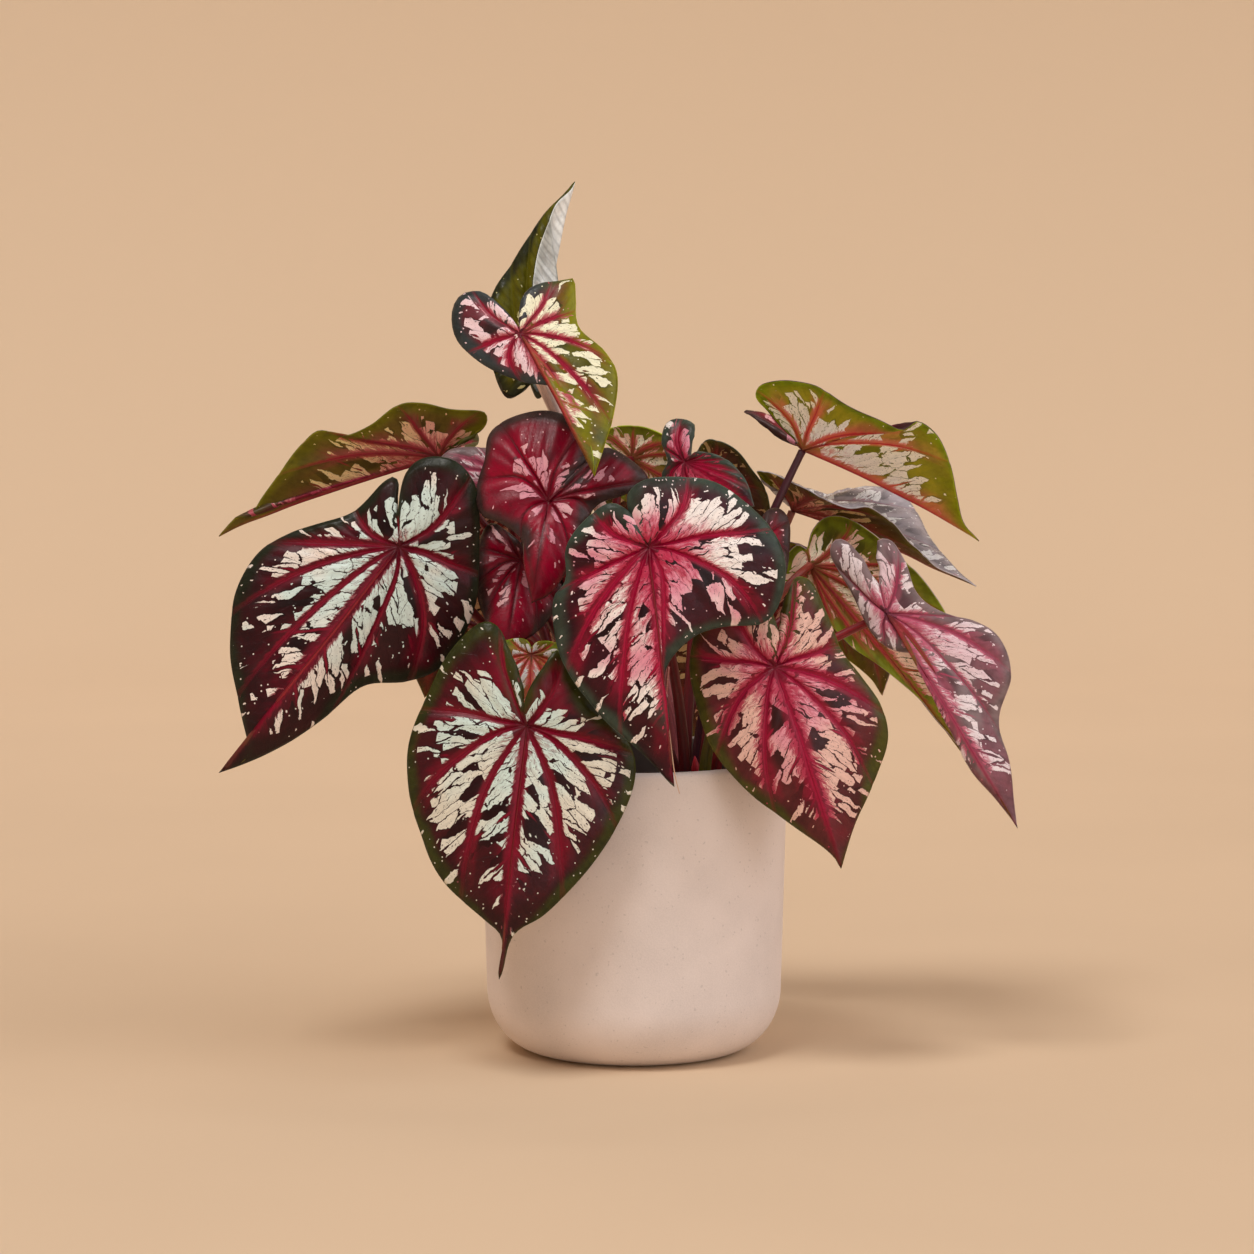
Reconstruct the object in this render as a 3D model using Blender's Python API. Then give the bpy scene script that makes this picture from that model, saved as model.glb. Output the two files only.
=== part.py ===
"""Caladium in a plain clay pot, standing on the pot's flat base.

The origin is the centre of the base, +Z is up and the viewer stands at -Y. The landmarks of the
leaves are in millimetres, everything else is in metres.
"""

import math
from dataclasses import dataclass

import bmesh
import bpy
from mathutils import Matrix, Vector

MM = 0.001
GAP = 0.0003

POT_HEIGHT = 0.150
POT_RIM_RADIUS = 0.077
POT_WAIST_RADIUS = 0.074
POT_FOOT_RADIUS = 0.046
POT_CORNER_HEIGHT = 0.032
POT_WALL = 0.0055
POT_FLOOR = 0.008
POT_SEGMENTS = 40
CORNER_STEPS = 5
LIP_STEPS = 3
DRAIN_RADIUS = 0.004
DRAIN_CIRCLE = 0.026
DRAIN_HOLES = 3
DRAIN_SIDES = 12

SOIL_TOP = 0.128
SOIL_DOME = 0.0015
SOIL_SHOULDER = 0.6

TUBER_RADIUS = 0.016
TUBER_HALF_HEIGHT = 0.011
TUBER_CENTRE_HEIGHT = 0.121
TUBERS = {
    "front": (0.030, -0.028),
    "left": (-0.026, -0.006),
    "right": (0.032, 0.022),
    "back": (-0.014, 0.036),
}
TUBER_SEGMENTS = (14, 8)
SEAT_RING = 0.0090

SHOOT_HEIGHT = 0.020
SHOOT_RADIUS = 0.0030
SHOOT_SIDES = 8
# Radius and height of the sheath's outline, as shares of its greatest radius and its height.
SHOOT_OUTLINE = [(0, 0), (0.55, 0), (1, 0.35), (0.7, 0.7), (0, 1)]

CURVE_STEPS = 8
BLADE_THICKNESS = 0.0007
BLADE_RAYS = 20
BLADE_RINGS = 3
PETIOLE_BASE_RADIUS = 0.0023
PETIOLE_TOP_RADIUS = 0.0015
PETIOLE_STEPS = 10
PETIOLE_END = 0.002
PETIOLE_HUB_GAP = 0.0008


@dataclass
class Leaf:
    """A blade: where its petiole meets it, its tip, its sinus and the margin of its two sides."""

    name: str
    hub: tuple
    tip: tuple
    sinus: tuple
    side_a: list
    side_b: list
    crown: float
    tuber: str
    roll: tuple = (0, 0, 0)
    rise: float = 60
    reach: float = 26
    stoutness: float = 1.0


@dataclass
class BackLeaf:
    """A blade on the far side, shaped from the common outline by its size and attitude."""

    name: str
    hub: tuple
    heading: float
    droop: float
    bank: float
    length: float
    width: float
    crown: float
    tuber: str


# The common heart outline: across, along the midrib from hub to tip, and hang, as shares of size.
HEART_SIDE = [
    (0.06, -0.20, 0.00),
    (0.22, -0.40, -0.03),
    (0.42, -0.36, -0.07),
    (0.56, -0.14, -0.12),
    (0.56, 0.16, -0.15),
    (0.46, 0.44, -0.14),
    (0.28, 0.70, -0.12),
    (0.10, 0.88, -0.12),
]
HEART_SINUS = (0.0, -0.09, 0.0)
HEART_TIP = (0.0, 1.0, -0.16)

LEAVES = [
    Leaf(
        "leaf_left_front",
        hub=(-115, -50, 258),
        tip=(-203, -62, 148),
        sinus=(-116, -49, 273),
        side_a=[
            (-112, -43, 293), (-102, -42, 301), (-87, -45, 299), (-77, -43, 285), (-76, -40, 260),
            (-79, -38, 226), (-91, -39, 201), (-111, -43, 191), (-133, -48, 189), (-152, -51, 174),
            (-178, -57, 157),
        ],
        side_b=[
            (-116, -41, 290), (-123, -41, 289), (-140, -41, 273), (-168, -38, 264), (-185, -38, 254),
            (-196, -41, 233), (-198, -47, 209), (-194, -54, 183), (-189, -60, 162), (-191, -59, 154),
        ],
        crown=5,
        tuber="left",
    ),
    Leaf(
        "leaf_front_low",
        hub=(-52, -92, 175),
        tip=(-65, -108, 54),
        sinus=(-54, -91, 182),
        side_a=[
            (-50, -90, 193), (-43, -88, 204), (-37, -86, 211), (-30, -88, 198), (-20, -89, 184),
            (-8, -89, 175), (0, -90, 160), (-1, -92, 144), (-11, -96, 122), (-24, -99, 104),
            (-43, -103, 85), (-58, -105, 75),
        ],
        side_b=[
            (-56, -88, 196), (-63, -82, 218), (-72, -79, 224), (-84, -78, 216), (-96, -78, 197),
            (-109, -79, 166), (-109, -83, 145), (-104, -88, 123), (-91, -95, 98), (-72, -102, 82),
            (-64, -105, 73),
        ],
        crown=5,
        tuber="front",
    ),
    Leaf(
        "leaf_front_centre",
        hub=(7, -98, 262),
        tip=(19, -112, 148),
        sinus=(3, -97, 268),
        side_a=[
            (-1, -94, 278), (-3, -93, 287), (5, -94, 294), (20, -89, 295), (37, -84, 293),
            (52, -81, 284), (65, -79, 271), (72, -80, 255), (71, -83, 237), (62, -87, 224),
            (41, -94, 223), (27, -99, 218), (16, -104, 206), (14, -107, 187), (16, -109, 168),
        ],
        side_b=[
            (-4, -95, 279), (-13, -94, 282), (-25, -93, 273), (-33, -94, 261), (-33, -95, 246),
            (-39, -95, 236), (-37, -98, 215), (-29, -101, 198), (-15, -104, 180), (3, -108, 164),
            (13, -111, 154),
        ],
        crown=8,
        tuber="front",
    ),
    Leaf(
        "leaf_right_low",
        hub=(68, -80, 202),
        tip=(100, -90, 105),
        sinus=(70, -79, 214),
        side_a=[
            (73, -73, 229), (76, -70, 241), (80, -67, 245), (87, -66, 241), (94, -67, 227),
            (101, -68, 209), (110, -68, 197), (120, -68, 182), (124, -70, 167), (119, -74, 150),
            (109, -82, 130), (103, -87, 114),
        ],
        side_b=[
            (67, -77, 227), (58, -76, 238), (44, -75, 238), (32, -74, 225), (27, -75, 203),
            (31, -76, 182), (40, -79, 159), (59, -83, 138), (85, -87, 120), (96, -89, 111),
        ],
        crown=5,
        tuber="front",
    ),
    Leaf(
        "leaf_right_droop",
        hub=(124, -38, 224),
        tip=(188, -58, 120),
        sinus=(121, -36, 238),
        side_a=[
            (121, -31, 250), (120, -28, 259), (127, -27, 259), (133, -29, 250), (139, -32, 234),
            (151, -33, 224), (170, -31, 219), (181, -32, 210), (186, -36, 193), (180, -43, 173),
            (185, -50, 148),
        ],
        side_b=[
            (116, -34, 244), (107, -31, 257), (100, -30, 260), (97, -29, 253), (106, -32, 236),
            (116, -35, 215), (127, -39, 206), (147, -40, 203), (161, -40, 195), (164, -46, 175),
            (164, -50, 153), (176, -54, 135),
        ],
        crown=4,
        tuber="front",
    ),
    Leaf(
        "leaf_right_under",
        hub=(89, 24, 242),
        tip=(166, 5, 148),
        sinus=(87, 25, 250),
        side_a=[
            (90, 22, 260), (97, 19, 267), (109, 14, 266), (126, 9, 254), (144, 4, 237), (159, 1, 214),
            (166, 1, 187), (168, 3, 164),
        ],
        side_b=[
            (82, 26, 252), (76, 28, 244), (76, 29, 229), (87, 26, 219), (99, 23, 212), (110, 20, 201),
            (125, 16, 191), (142, 11, 177), (156, 8, 160),
        ],
        crown=4,
        tuber="right",
    ),
    Leaf(
        "leaf_right_back",
        hub=(81, 52, 268),
        tip=(174, 44, 229),
        sinus=(78, 52, 274),
        side_a=[
            (70, 44, 280), (62, 38, 288), (69, 28, 288), (83, 17, 283), (97, 10, 276), (108, 8, 273),
            (118, 7, 274), (128, 14, 266), (141, 26, 252), (157, 38, 239),
        ],
        side_b=[
            (82, 62, 276), (88, 80, 277), (103, 91, 271), (114, 98, 274), (126, 99, 276),
            (138, 94, 273), (147, 83, 263), (153, 68, 250), (165, 53, 236),
        ],
        crown=2,
        tuber="right",
    ),
    Leaf(
        "leaf_right_top",
        hub=(85, 20, 301),
        tip=(173, 8, 256),
        sinus=(82, 20, 304),
        side_a=[
            (74, 17, 312), (66, 14, 322), (61, 10, 329), (64, 4, 335), (75, -1, 337), (90, -5, 334),
            (105, -7, 325), (121, -10, 318), (133, -12, 313), (140, -14, 317), (148, -15, 312),
            (156, -10, 299), (161, 0, 279), (165, 7, 265),
        ],
        side_b=[
            (76, 27, 305), (67, 31, 311), (56, 38, 320), (72, 52, 315), (93, 64, 310), (113, 70, 308),
            (132, 65, 299), (148, 51, 284), (159, 28, 269),
        ],
        crown=2,
        tuber="right",
    ),
    Leaf(
        "leaf_left_top",
        hub=(-97, 0, 298),
        tip=(-207, -6, 260),
        sinus=(-92, 0, 300),
        side_a=[
            (-87, -2, 307), (-77, -1, 311), (-73, -3, 317), (-76, -6, 322), (-92, -10, 323),
            (-105, -14, 326), (-117, -16, 325), (-131, -15, 315), (-144, -15, 310), (-156, -19, 313),
            (-165, -17, 305), (-175, -14, 292), (-185, -9, 278), (-191, -7, 269), (-197, -8, 269),
        ],
        side_b=[
            (-87, 15, 300), (-79, 31, 302), (-83, 51, 309), (-104, 62, 310), (-125, 61, 305),
            (-144, 50, 295), (-164, 35, 284), (-182, 16, 272), (-195, 3, 265),
        ],
        crown=2,
        tuber="left",
        rise=95,
    ),
    Leaf(
        "leaf_top",
        hub=(-56, -26, 361),
        tip=(-19, -64, 294),
        sinus=(-57, -24, 365),
        side_a=[
            (-56, -18, 374), (-53, -14, 381), (-44, -12, 385), (-36, -10, 386), (-30, -9, 387),
            (-29, -15, 377), (-27, -23, 364), (-14, -29, 352), (-8, -36, 341), (-10, -47, 322),
            (-14, -54, 309),
        ],
        side_b=[
            (-61, -21, 369), (-67, -17, 375), (-76, -11, 381), (-86, -8, 379), (-90, -9, 370),
            (-86, -15, 356), (-73, -24, 345), (-56, -33, 338), (-41, -40, 336), (-33, -43, 332),
            (-26, -49, 321), (-21, -57, 307),
        ],
        crown=3,
        tuber="right",
        rise=70,
        stoutness=1.5,
    ),
    Leaf(
        "leaf_centre_crimson",
        hub=(-42, -48, 280),
        tip=(-50, -70, 232),
        sinus=(-31, -43, 289),
        side_a=[
            (-24, -36, 297), (-24, -31, 311), (-33, -30, 320), (-46, -27, 323), (-61, -27, 320),
            (-71, -29, 312), (-73, -35, 299), (-77, -40, 286), (-75, -46, 274), (-64, -50, 269),
            (-54, -55, 261), (-53, -62, 247),
        ],
        side_b=[
            (-20, -35, 298), (-14, -31, 305), (0, -31, 298), (7, -33, 289), (-5, -39, 283),
            (-17, -43, 279), (-24, -48, 270), (-30, -57, 252), (-40, -65, 237),
        ],
        crown=5,
        tuber="left",
    ),
    Leaf(
        "leaf_striped_small",
        hub=(-64, -18, 289),
        tip=(-101, -28, 278),
        sinus=(-60, -17, 289),
        side_a=[
            (-55, -13, 295), (-63, -9, 301), (-80, -9, 304), (-93, -11, 302), (-99, -19, 291),
        ],
        side_b=[
            (-57, -14, 283), (-67, -16, 275), (-81, -20, 272), (-94, -25, 273),
        ],
        crown=2,
        tuber="left",
        reach=42,
    ),
    Leaf(
        "leaf_shaded_left",
        hub=(-56, -22, 249),
        tip=(-63, -45, 207),
        sinus=(-55, -19, 255),
        side_a=[
            (-50, -15, 258), (-41, -12, 257), (-35, -14, 247), (-37, -23, 229), (-47, -34, 215),
        ],
        side_b=[
            (-60, -15, 260), (-71, -9, 266), (-77, -13, 256), (-78, -26, 234), (-72, -37, 217),
        ],
        crown=3,
        tuber="left",
    ),
    Leaf(
        "leaf_behind_low",
        hub=(-50, -60, 206),
        tip=(-52, -72, 171),
        sinus=(-50, -59, 209),
        side_a=[
            (-46, -57, 212), (-36, -54, 210), (-30, -56, 199), (-35, -63, 183), (-44, -68, 175),
        ],
        side_b=[
            (-54, -56, 213), (-64, -54, 211), (-67, -57, 200), (-64, -63, 185), (-57, -69, 176),
        ],
        crown=2,
        tuber="left",
    ),
    Leaf(
        "leaf_behind_top",
        hub=(-1, 32, 295),
        tip=(34, 14, 276),
        sinus=(-5, 34, 296),
        side_a=[
            (-9, 36, 299), (-16, 39, 305), (-11, 36, 311), (3, 28, 312), (15, 21, 308), (27, 15, 298),
            (33, 13, 286),
        ],
        side_b=[
            (-9, 36, 290), (-11, 38, 281), (-1, 33, 272), (15, 24, 269), (28, 17, 271),
        ],
        crown=2,
        tuber="back",
    ),
    Leaf(
        "leaf_pink_lobe",
        hub=(25, -14, 297),
        tip=(59, -40, 277),
        sinus=(28, -14, 300),
        side_a=[
            (34, -16, 302), (46, -23, 298), (55, -32, 289),
        ],
        side_b=[
            (29, -10, 308), (30, -7, 315), (23, -2, 318), (16, 0, 315), (14, -4, 306), (17, -9, 297),
            (14, -8, 288), (25, -17, 278), (43, -30, 274),
        ],
        crown=2,
        tuber="front",
    ),
    Leaf(
        "leaf_shaded_right",
        hub=(60, -18, 256),
        tip=(67, -36, 228),
        sinus=(61, -15, 260),
        side_a=[
            (65, -7, 271), (72, -4, 273), (77, -9, 266), (77, -19, 251), (73, -30, 236),
        ],
        side_b=[
            (58, -12, 265), (51, -10, 263), (47, -13, 253), (50, -23, 239), (60, -32, 230),
        ],
        crown=2,
        tuber="front",
    ),
    Leaf(
        "leaf_young",
        hub=(-50, 14, 340),
        tip=(-30, 24, 435),
        sinus=(-52, 13, 334),
        side_a=[
            (-48, 7, 327), (-44, 3, 334), (-44, 2, 357), (-50, 6, 380), (-49, 10, 395), (-44, 13, 412),
            (-40, 17, 423), (-33, 21, 430),
        ],
        side_b=[
            (-56, 14, 330), (-63, 14, 327), (-68, 16, 334), (-73, 19, 351), (-74, 22, 366),
            (-70, 23, 381), (-62, 24, 393), (-55, 24, 404), (-45, 24, 419), (-36, 24, 428),
        ],
        crown=2,
        tuber="back",
        roll=(14, 5, 0),
    ),
]

BACK_LEAVES = [
    BackLeaf("leaf_side_left", (-106, 12, 230), 172, 40, 0, 78, 60, 4, "back"),
    BackLeaf("leaf_back_left", (-80, 78, 230), 134, 48, 6, 76, 70, 5, "back"),
    BackLeaf("leaf_back_low_left", (-33, 104, 190), 104, 76, 0, 108, 82, 6, "back"),
    BackLeaf("leaf_back_low_right", (60, 96, 192), 68, 74, 0, 104, 78, 6, "right"),
    BackLeaf("leaf_back_right", (104, 70, 230), 28, 56, -8, 66, 68, 4, "right"),
    BackLeaf("leaf_back_top", (30, 78, 278), 72, 48, 0, 94, 78, 6, "back"),
    BackLeaf("leaf_back_top_left", (-62, 68, 268), 130, 46, 4, 82, 72, 5, "back"),
]


def clear_scene():
    """Removes whatever the scene holds."""
    for obj in list(bpy.data.objects):
        bpy.data.objects.remove(obj, do_unlink=True)


def material(name, colour, roughness):
    """A Principled material of one colour."""
    mat = bpy.data.materials.new(name)
    mat.use_nodes = True
    shader = mat.node_tree.nodes["Principled BSDF"]
    shader.inputs["Base Color"].default_value = (*colour, 1.0)
    shader.inputs["Roughness"].default_value = roughness
    shader.inputs["Metallic"].default_value = 0.0
    return mat


def add_mesh(name, bm, mat):
    """Turns a bmesh into a named, smooth shaded object."""
    mesh = bpy.data.meshes.new(name)
    bm.to_mesh(mesh)
    bm.free()
    mesh.shade_smooth()
    obj = bpy.data.objects.new(name, mesh)
    obj.data.materials.append(mat)
    bpy.context.scene.collection.objects.link(obj)
    return obj


def arc(centre, radii, start, end, steps):
    """Points of an elliptical arc in the (radius, height) plane, both ends included."""
    return [
        (centre[0] + radii[0] * math.cos(a), centre[1] + radii[1] * math.sin(a))
        for a in (start + (end - start) * i / steps for i in range(steps + 1))
    ]


def spun(profile, segments):
    """A solid of revolution about Z from a profile of (radius, height) points."""
    bm = bmesh.new()
    verts = [bm.verts.new((r, 0, z)) for r, z in profile]
    edges = [bm.edges.new(pair) for pair in zip(verts, verts[1:])]
    bmesh.ops.spin(
        bm,
        geom=verts + edges,
        cent=(0, 0, 0),
        axis=(0, 0, 1),
        angle=2 * math.pi,
        steps=segments,
        use_merge=True,
    )
    bmesh.ops.remove_doubles(bm, verts=bm.verts, dist=1e-6)
    bmesh.ops.recalc_face_normals(bm, faces=bm.faces)
    return bm


def cut(obj, cutter):
    """Subtracts a guide shape from an object."""
    cutter.hide_render = True
    cutter.display_type = "WIRE"
    boolean = obj.modifiers.new("cut_" + cutter.name, "BOOLEAN")
    boolean.operation = "DIFFERENCE"
    boolean.object = cutter


def pot_corner(inset, floor):
    """The rounded lower corner of the pot's outside, or of its inside when inset by the wall."""
    foot = POT_FOOT_RADIUS
    radii = (POT_WAIST_RADIUS - inset - foot, POT_CORNER_HEIGHT - floor)
    return arc((foot, POT_CORNER_HEIGHT), radii, -math.pi / 2, 0, CORNER_STEPS)


def build_pot(mat):
    """The pot: a thrown wall on a flat base, with a soft lip and three drain holes."""
    lip_radius = POT_WALL / 2
    lip_centre = (POT_RIM_RADIUS - lip_radius, POT_HEIGHT - lip_radius)
    outside = [(0, 0)] + pot_corner(0, 0)
    lip = arc(lip_centre, (lip_radius, lip_radius), 0, math.pi, LIP_STEPS)
    inside = pot_corner(POT_WALL, POT_FLOOR)[::-1] + [(0, POT_FLOOR)]
    pot = add_mesh("pot", spun(outside + lip + inside, POT_SEGMENTS), mat)
    for i in range(DRAIN_HOLES):
        turn = 2 * math.pi * (i + 0.5) / DRAIN_HOLES
        bm = bmesh.new()
        bmesh.ops.create_cone(
            bm,
            cap_ends=True,
            segments=DRAIN_SIDES,
            radius1=DRAIN_RADIUS,
            radius2=DRAIN_RADIUS,
            depth=4 * POT_FLOOR,
        )
        drain = add_mesh("drain_cutter_%d" % (i + 1), bm, mat)
        drain.location = (DRAIN_CIRCLE * math.cos(turn), DRAIN_CIRCLE * math.sin(turn), 0)
        cut(pot, drain)


def wall_inside(height):
    """The inner radius of the pot at a height above its rounded corner."""
    share = (height - POT_CORNER_HEIGHT) / (POT_HEIGHT - POT_WALL / 2 - POT_CORNER_HEIGHT)
    return POT_WAIST_RADIUS + (POT_RIM_RADIUS - POT_WAIST_RADIUS) * share - POT_WALL


def tuber_shape(margin):
    """A squat tuber, or the pit it sits in when given a margin."""
    bm = bmesh.new()
    around, upright = TUBER_SEGMENTS
    bmesh.ops.create_uvsphere(bm, u_segments=around, v_segments=upright, radius=1)
    radius = TUBER_RADIUS + margin
    half_height = TUBER_HALF_HEIGHT + margin
    bmesh.ops.transform(bm, matrix=Matrix.Diagonal((radius, radius, half_height, 1)), verts=bm.verts)
    return bm


def build_soil(mat):
    """The soil fills the pot to a little under the rim and holds the tubers in pits."""
    bottom = [(r - GAP, z + GAP) for r, z in pot_corner(POT_WALL, POT_FLOOR)]
    edge = (wall_inside(SOIL_TOP) - 2 * GAP, SOIL_TOP)
    crown = [(edge[0] * SOIL_SHOULDER, SOIL_TOP + SOIL_DOME), (0, SOIL_TOP + SOIL_DOME)]
    profile = [(0, POT_FLOOR + GAP)] + bottom + [edge] + crown
    soil = add_mesh("soil", spun(profile, POT_SEGMENTS), mat)
    for name, (x, y) in TUBERS.items():
        pit = add_mesh("pit_cutter_" + name, tuber_shape(GAP), mat)
        pit.location = (x, y, TUBER_CENTRE_HEIGHT)
        cut(soil, pit)


def build_tubers(mat):
    """One tuber for each clump of leaves."""
    for name, (x, y) in TUBERS.items():
        tuber = add_mesh("tuber_" + name, tuber_shape(0), mat)
        tuber.location = (x, y, TUBER_CENTRE_HEIGHT)


def tuber_top(offset):
    """The height of a tuber's skin at a distance from its middle."""
    drop = math.sqrt(1 - (offset / TUBER_RADIUS) ** 2)
    return TUBER_CENTRE_HEIGHT + TUBER_HALF_HEIGHT * drop


def build_shoot(mat):
    """A new shoot, still in its pointed red sheath, on top of the front tuber."""
    x, y = TUBERS["front"]
    profile = [(r * SHOOT_RADIUS, z * SHOOT_HEIGHT) for r, z in SHOOT_OUTLINE]
    shoot = add_mesh("new_shoot", spun(profile, SHOOT_SIDES), mat)
    shoot.location = (x, y, tuber_top(0) + GAP)


def smooth_run(points, count):
    """Evenly spaced points on a smooth curve through the given points, ends included."""
    padded = [points[0] * 2 - points[1]] + points + [points[-1] * 2 - points[-2]]
    fine = []
    for p0, p1, p2, p3 in zip(padded, padded[1:], padded[2:], padded[3:]):
        for i in range(CURVE_STEPS):
            t = i / CURVE_STEPS
            fine.append(
                0.5
                * (
                    2 * p1
                    + (p2 - p0) * t
                    + (2 * p0 - 5 * p1 + 4 * p2 - p3) * t * t
                    + (3 * p1 - p0 - 3 * p2 + p3) * t * t * t
                )
            )
    fine.append(points[-1])
    lengths = [0.0]
    for a, b in zip(fine, fine[1:]):
        lengths.append(lengths[-1] + (b - a).length)
    run = []
    for i in range(count + 1):
        want = lengths[-1] * i / count
        k = max(j for j in range(len(fine) - 1) if lengths[j] <= want + 1e-12)
        span = lengths[k + 1] - lengths[k]
        run.append(fine[k].lerp(fine[k + 1], min(1.0, (want - lengths[k]) / span)))
    return run


def margin(leaf):
    """The closed margin of a blade from sinus to tip along side A and back along side B."""
    to_m = [Vector(p) * MM for p in leaf.side_a]
    back = [Vector(p) * MM for p in leaf.side_b]
    sinus, tip = Vector(leaf.sinus) * MM, Vector(leaf.tip) * MM
    half = BLADE_RAYS // 2
    side_a = smooth_run([sinus] + to_m + [tip], half)
    side_b = smooth_run([sinus] + back + [tip], half)
    return side_a + side_b[-2:0:-1]


def facing(leaf, ring):
    """The unit normal of a blade's upper side, averaged round its margin. It always looks up."""
    hub = Vector(leaf.hub) * MM
    normal = Vector((0, 0, 0))
    for a, b in zip(ring, ring[1:] + ring[:1]):
        normal += (a - hub).cross(b - hub)
    normal.normalize()
    return normal if normal.z > 0 else -normal


def blade_point(leaf, normal, target, share, side_share, longest):
    """A point on the ray from the hub to a margin point, lifted by the blade's crown."""
    hub = Vector(leaf.hub) * MM
    hump = 4 * share * (1 - share)
    lift = leaf.crown * MM * (target - hub).length / longest
    rolled = Vector(leaf.roll) * MM * math.sin(math.pi * side_share)
    return hub.lerp(target, share) + (normal * lift + rolled) * hump


def build_blade(leaf, mat):
    """A thin closed blade: rings of points about the hub, given thickness by Solidify."""
    ring = margin(leaf)
    normal = facing(leaf, ring)
    longest = max((p - Vector(leaf.hub) * MM).length for p in ring)
    half = BLADE_RAYS // 2
    bm = bmesh.new()
    centre = bm.verts.new(Vector(leaf.hub) * MM)
    rings = []
    for step in range(1, BLADE_RINGS + 1):
        circle = []
        for i, target in enumerate(ring):
            side_share = i / half if i < half else 0.0
            spot = blade_point(leaf, normal, target, step / BLADE_RINGS, side_share, longest)
            circle.append(bm.verts.new(spot))
        rings.append(circle)
    for i in range(BLADE_RAYS):
        j = (i + 1) % BLADE_RAYS
        bm.faces.new((centre, rings[0][i], rings[0][j]))
        for inner, outer in zip(rings, rings[1:]):
            bm.faces.new((inner[i], outer[i], outer[j], inner[j]))
    bm.normal_update()
    if sum((f.normal * f.calc_area() for f in bm.faces), Vector((0, 0, 0))).dot(normal) < 0:
        bmesh.ops.reverse_faces(bm, faces=bm.faces)
    blade = add_mesh(leaf.name, bm, mat)
    solid = blade.modifiers.new("thickness", "SOLIDIFY")
    solid.thickness = BLADE_THICKNESS
    solid.offset = 0
    return normal


def heart_leaf(back):
    """The landmarks of a far side leaf: the common outline, drooped, banked and turned."""
    along = Vector(
        (
            math.cos(math.radians(back.heading)) * math.cos(math.radians(back.droop)),
            math.sin(math.radians(back.heading)) * math.cos(math.radians(back.droop)),
            -math.sin(math.radians(back.droop)),
        )
    )
    across = along.cross(Vector((0, 0, 1))).normalized()
    across = Matrix.Rotation(math.radians(back.bank), 3, along) @ across
    up = across.cross(along)

    def place(point, sign):
        x, y, z = point
        spot = Vector(back.hub) + across * (sign * x * back.width) + along * (y * back.length)
        return tuple(spot + up * (z * back.length))

    return Leaf(
        back.name,
        back.hub,
        place(HEART_TIP, 1),
        place(HEART_SINUS, 1),
        [place(p, 1) for p in HEART_SIDE],
        [place(p, -1) for p in HEART_SIDE],
        back.crown,
        back.tuber,
    )


def seats(leaves):
    """Where each petiole leaves its tuber, in the order of the directions they lead to."""
    places = {}
    for tuber, (x, y) in TUBERS.items():
        own = [leaf for leaf in leaves if leaf.tuber == tuber]
        angle = {
            leaf.name: math.atan2(leaf.hub[1] * MM - y, leaf.hub[0] * MM - x) for leaf in own
        }
        own.sort(key=lambda leaf: angle[leaf.name])
        step = 2 * math.pi / len(own)
        start = sum(angle[leaf.name] - i * step for i, leaf in enumerate(own)) / len(own)
        for i, leaf in enumerate(own):
            turn = start + i * step
            places[leaf.name] = Vector(
                (
                    x + SEAT_RING * math.cos(turn),
                    y + SEAT_RING * math.sin(turn),
                    tuber_top(SEAT_RING - PETIOLE_BASE_RADIUS) + GAP,
                )
            )
    return places


def build_petiole(leaf, seat, normal, mat):
    """A round tapering stalk from the tuber to just under the hub of its blade."""
    top = Vector(leaf.hub) * MM - normal * (BLADE_THICKNESS / 2 + PETIOLE_HUB_GAP)
    first = seat + Vector((0, 0, PETIOLE_END))
    last = top - normal * PETIOLE_END
    rise = first + Vector((0, 0, leaf.rise * MM))
    arrive = last - normal * (leaf.reach * MM)
    spots = [seat]
    for i in range(PETIOLE_STEPS + 1):
        t = i / PETIOLE_STEPS
        u = 1 - t
        spots.append(first * u**3 + rise * 3 * t * u**2 + arrive * 3 * t**2 * u + last * t**3)
    spots.append(top)
    curve = bpy.data.curves.new(leaf.name.replace("leaf", "petiole"), "CURVE")
    curve.dimensions = "3D"
    curve.bevel_depth = 1.0
    curve.bevel_resolution = 1
    curve.use_fill_caps = True
    spline = curve.splines.new("POLY")
    spline.points.add(len(spots) - 1)
    for i, (point, spot) in enumerate(zip(spline.points, spots)):
        share = i / (len(spots) - 1)
        point.co = (*spot, 1.0)
        radius = PETIOLE_BASE_RADIUS + (PETIOLE_TOP_RADIUS - PETIOLE_BASE_RADIUS) * share
        point.radius = radius * leaf.stoutness
    petiole = bpy.data.objects.new(curve.name, curve)
    petiole.data.materials.append(mat)
    bpy.context.scene.collection.objects.link(petiole)


def main():
    clear_scene()
    clay = material("clay", (0.72, 0.60, 0.55), 0.85)
    peat = material("peat", (0.05, 0.032, 0.022), 0.95)
    tuber_skin = material("tuber_skin", (0.18, 0.10, 0.06), 0.9)
    sheath = material("sheath", (0.42, 0.03, 0.06), 0.45)
    build_pot(clay)
    build_soil(peat)
    build_tubers(tuber_skin)
    build_shoot(sheath)
    leaves = LEAVES + [heart_leaf(back) for back in BACK_LEAVES]
    places = seats(leaves)
    for leaf in leaves:
        blade_skin = material(leaf.name, (0.30, 0.05, 0.09), 0.4)
        stalk_skin = material(leaf.name.replace("leaf", "petiole"), (0.25, 0.03, 0.05), 0.45)
        normal = build_blade(leaf, blade_skin)
        build_petiole(leaf, places[leaf.name], normal, stalk_skin)


main()
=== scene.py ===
"""The looks of a caladium in a plain clay pot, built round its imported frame.

The frame's origin is the centre of the pot's base, +Z is up and the viewer stands at -Y. Everything
is in metres, apart from the landmarks of the leaves and the fields along them, in millimetres.
"""

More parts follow.
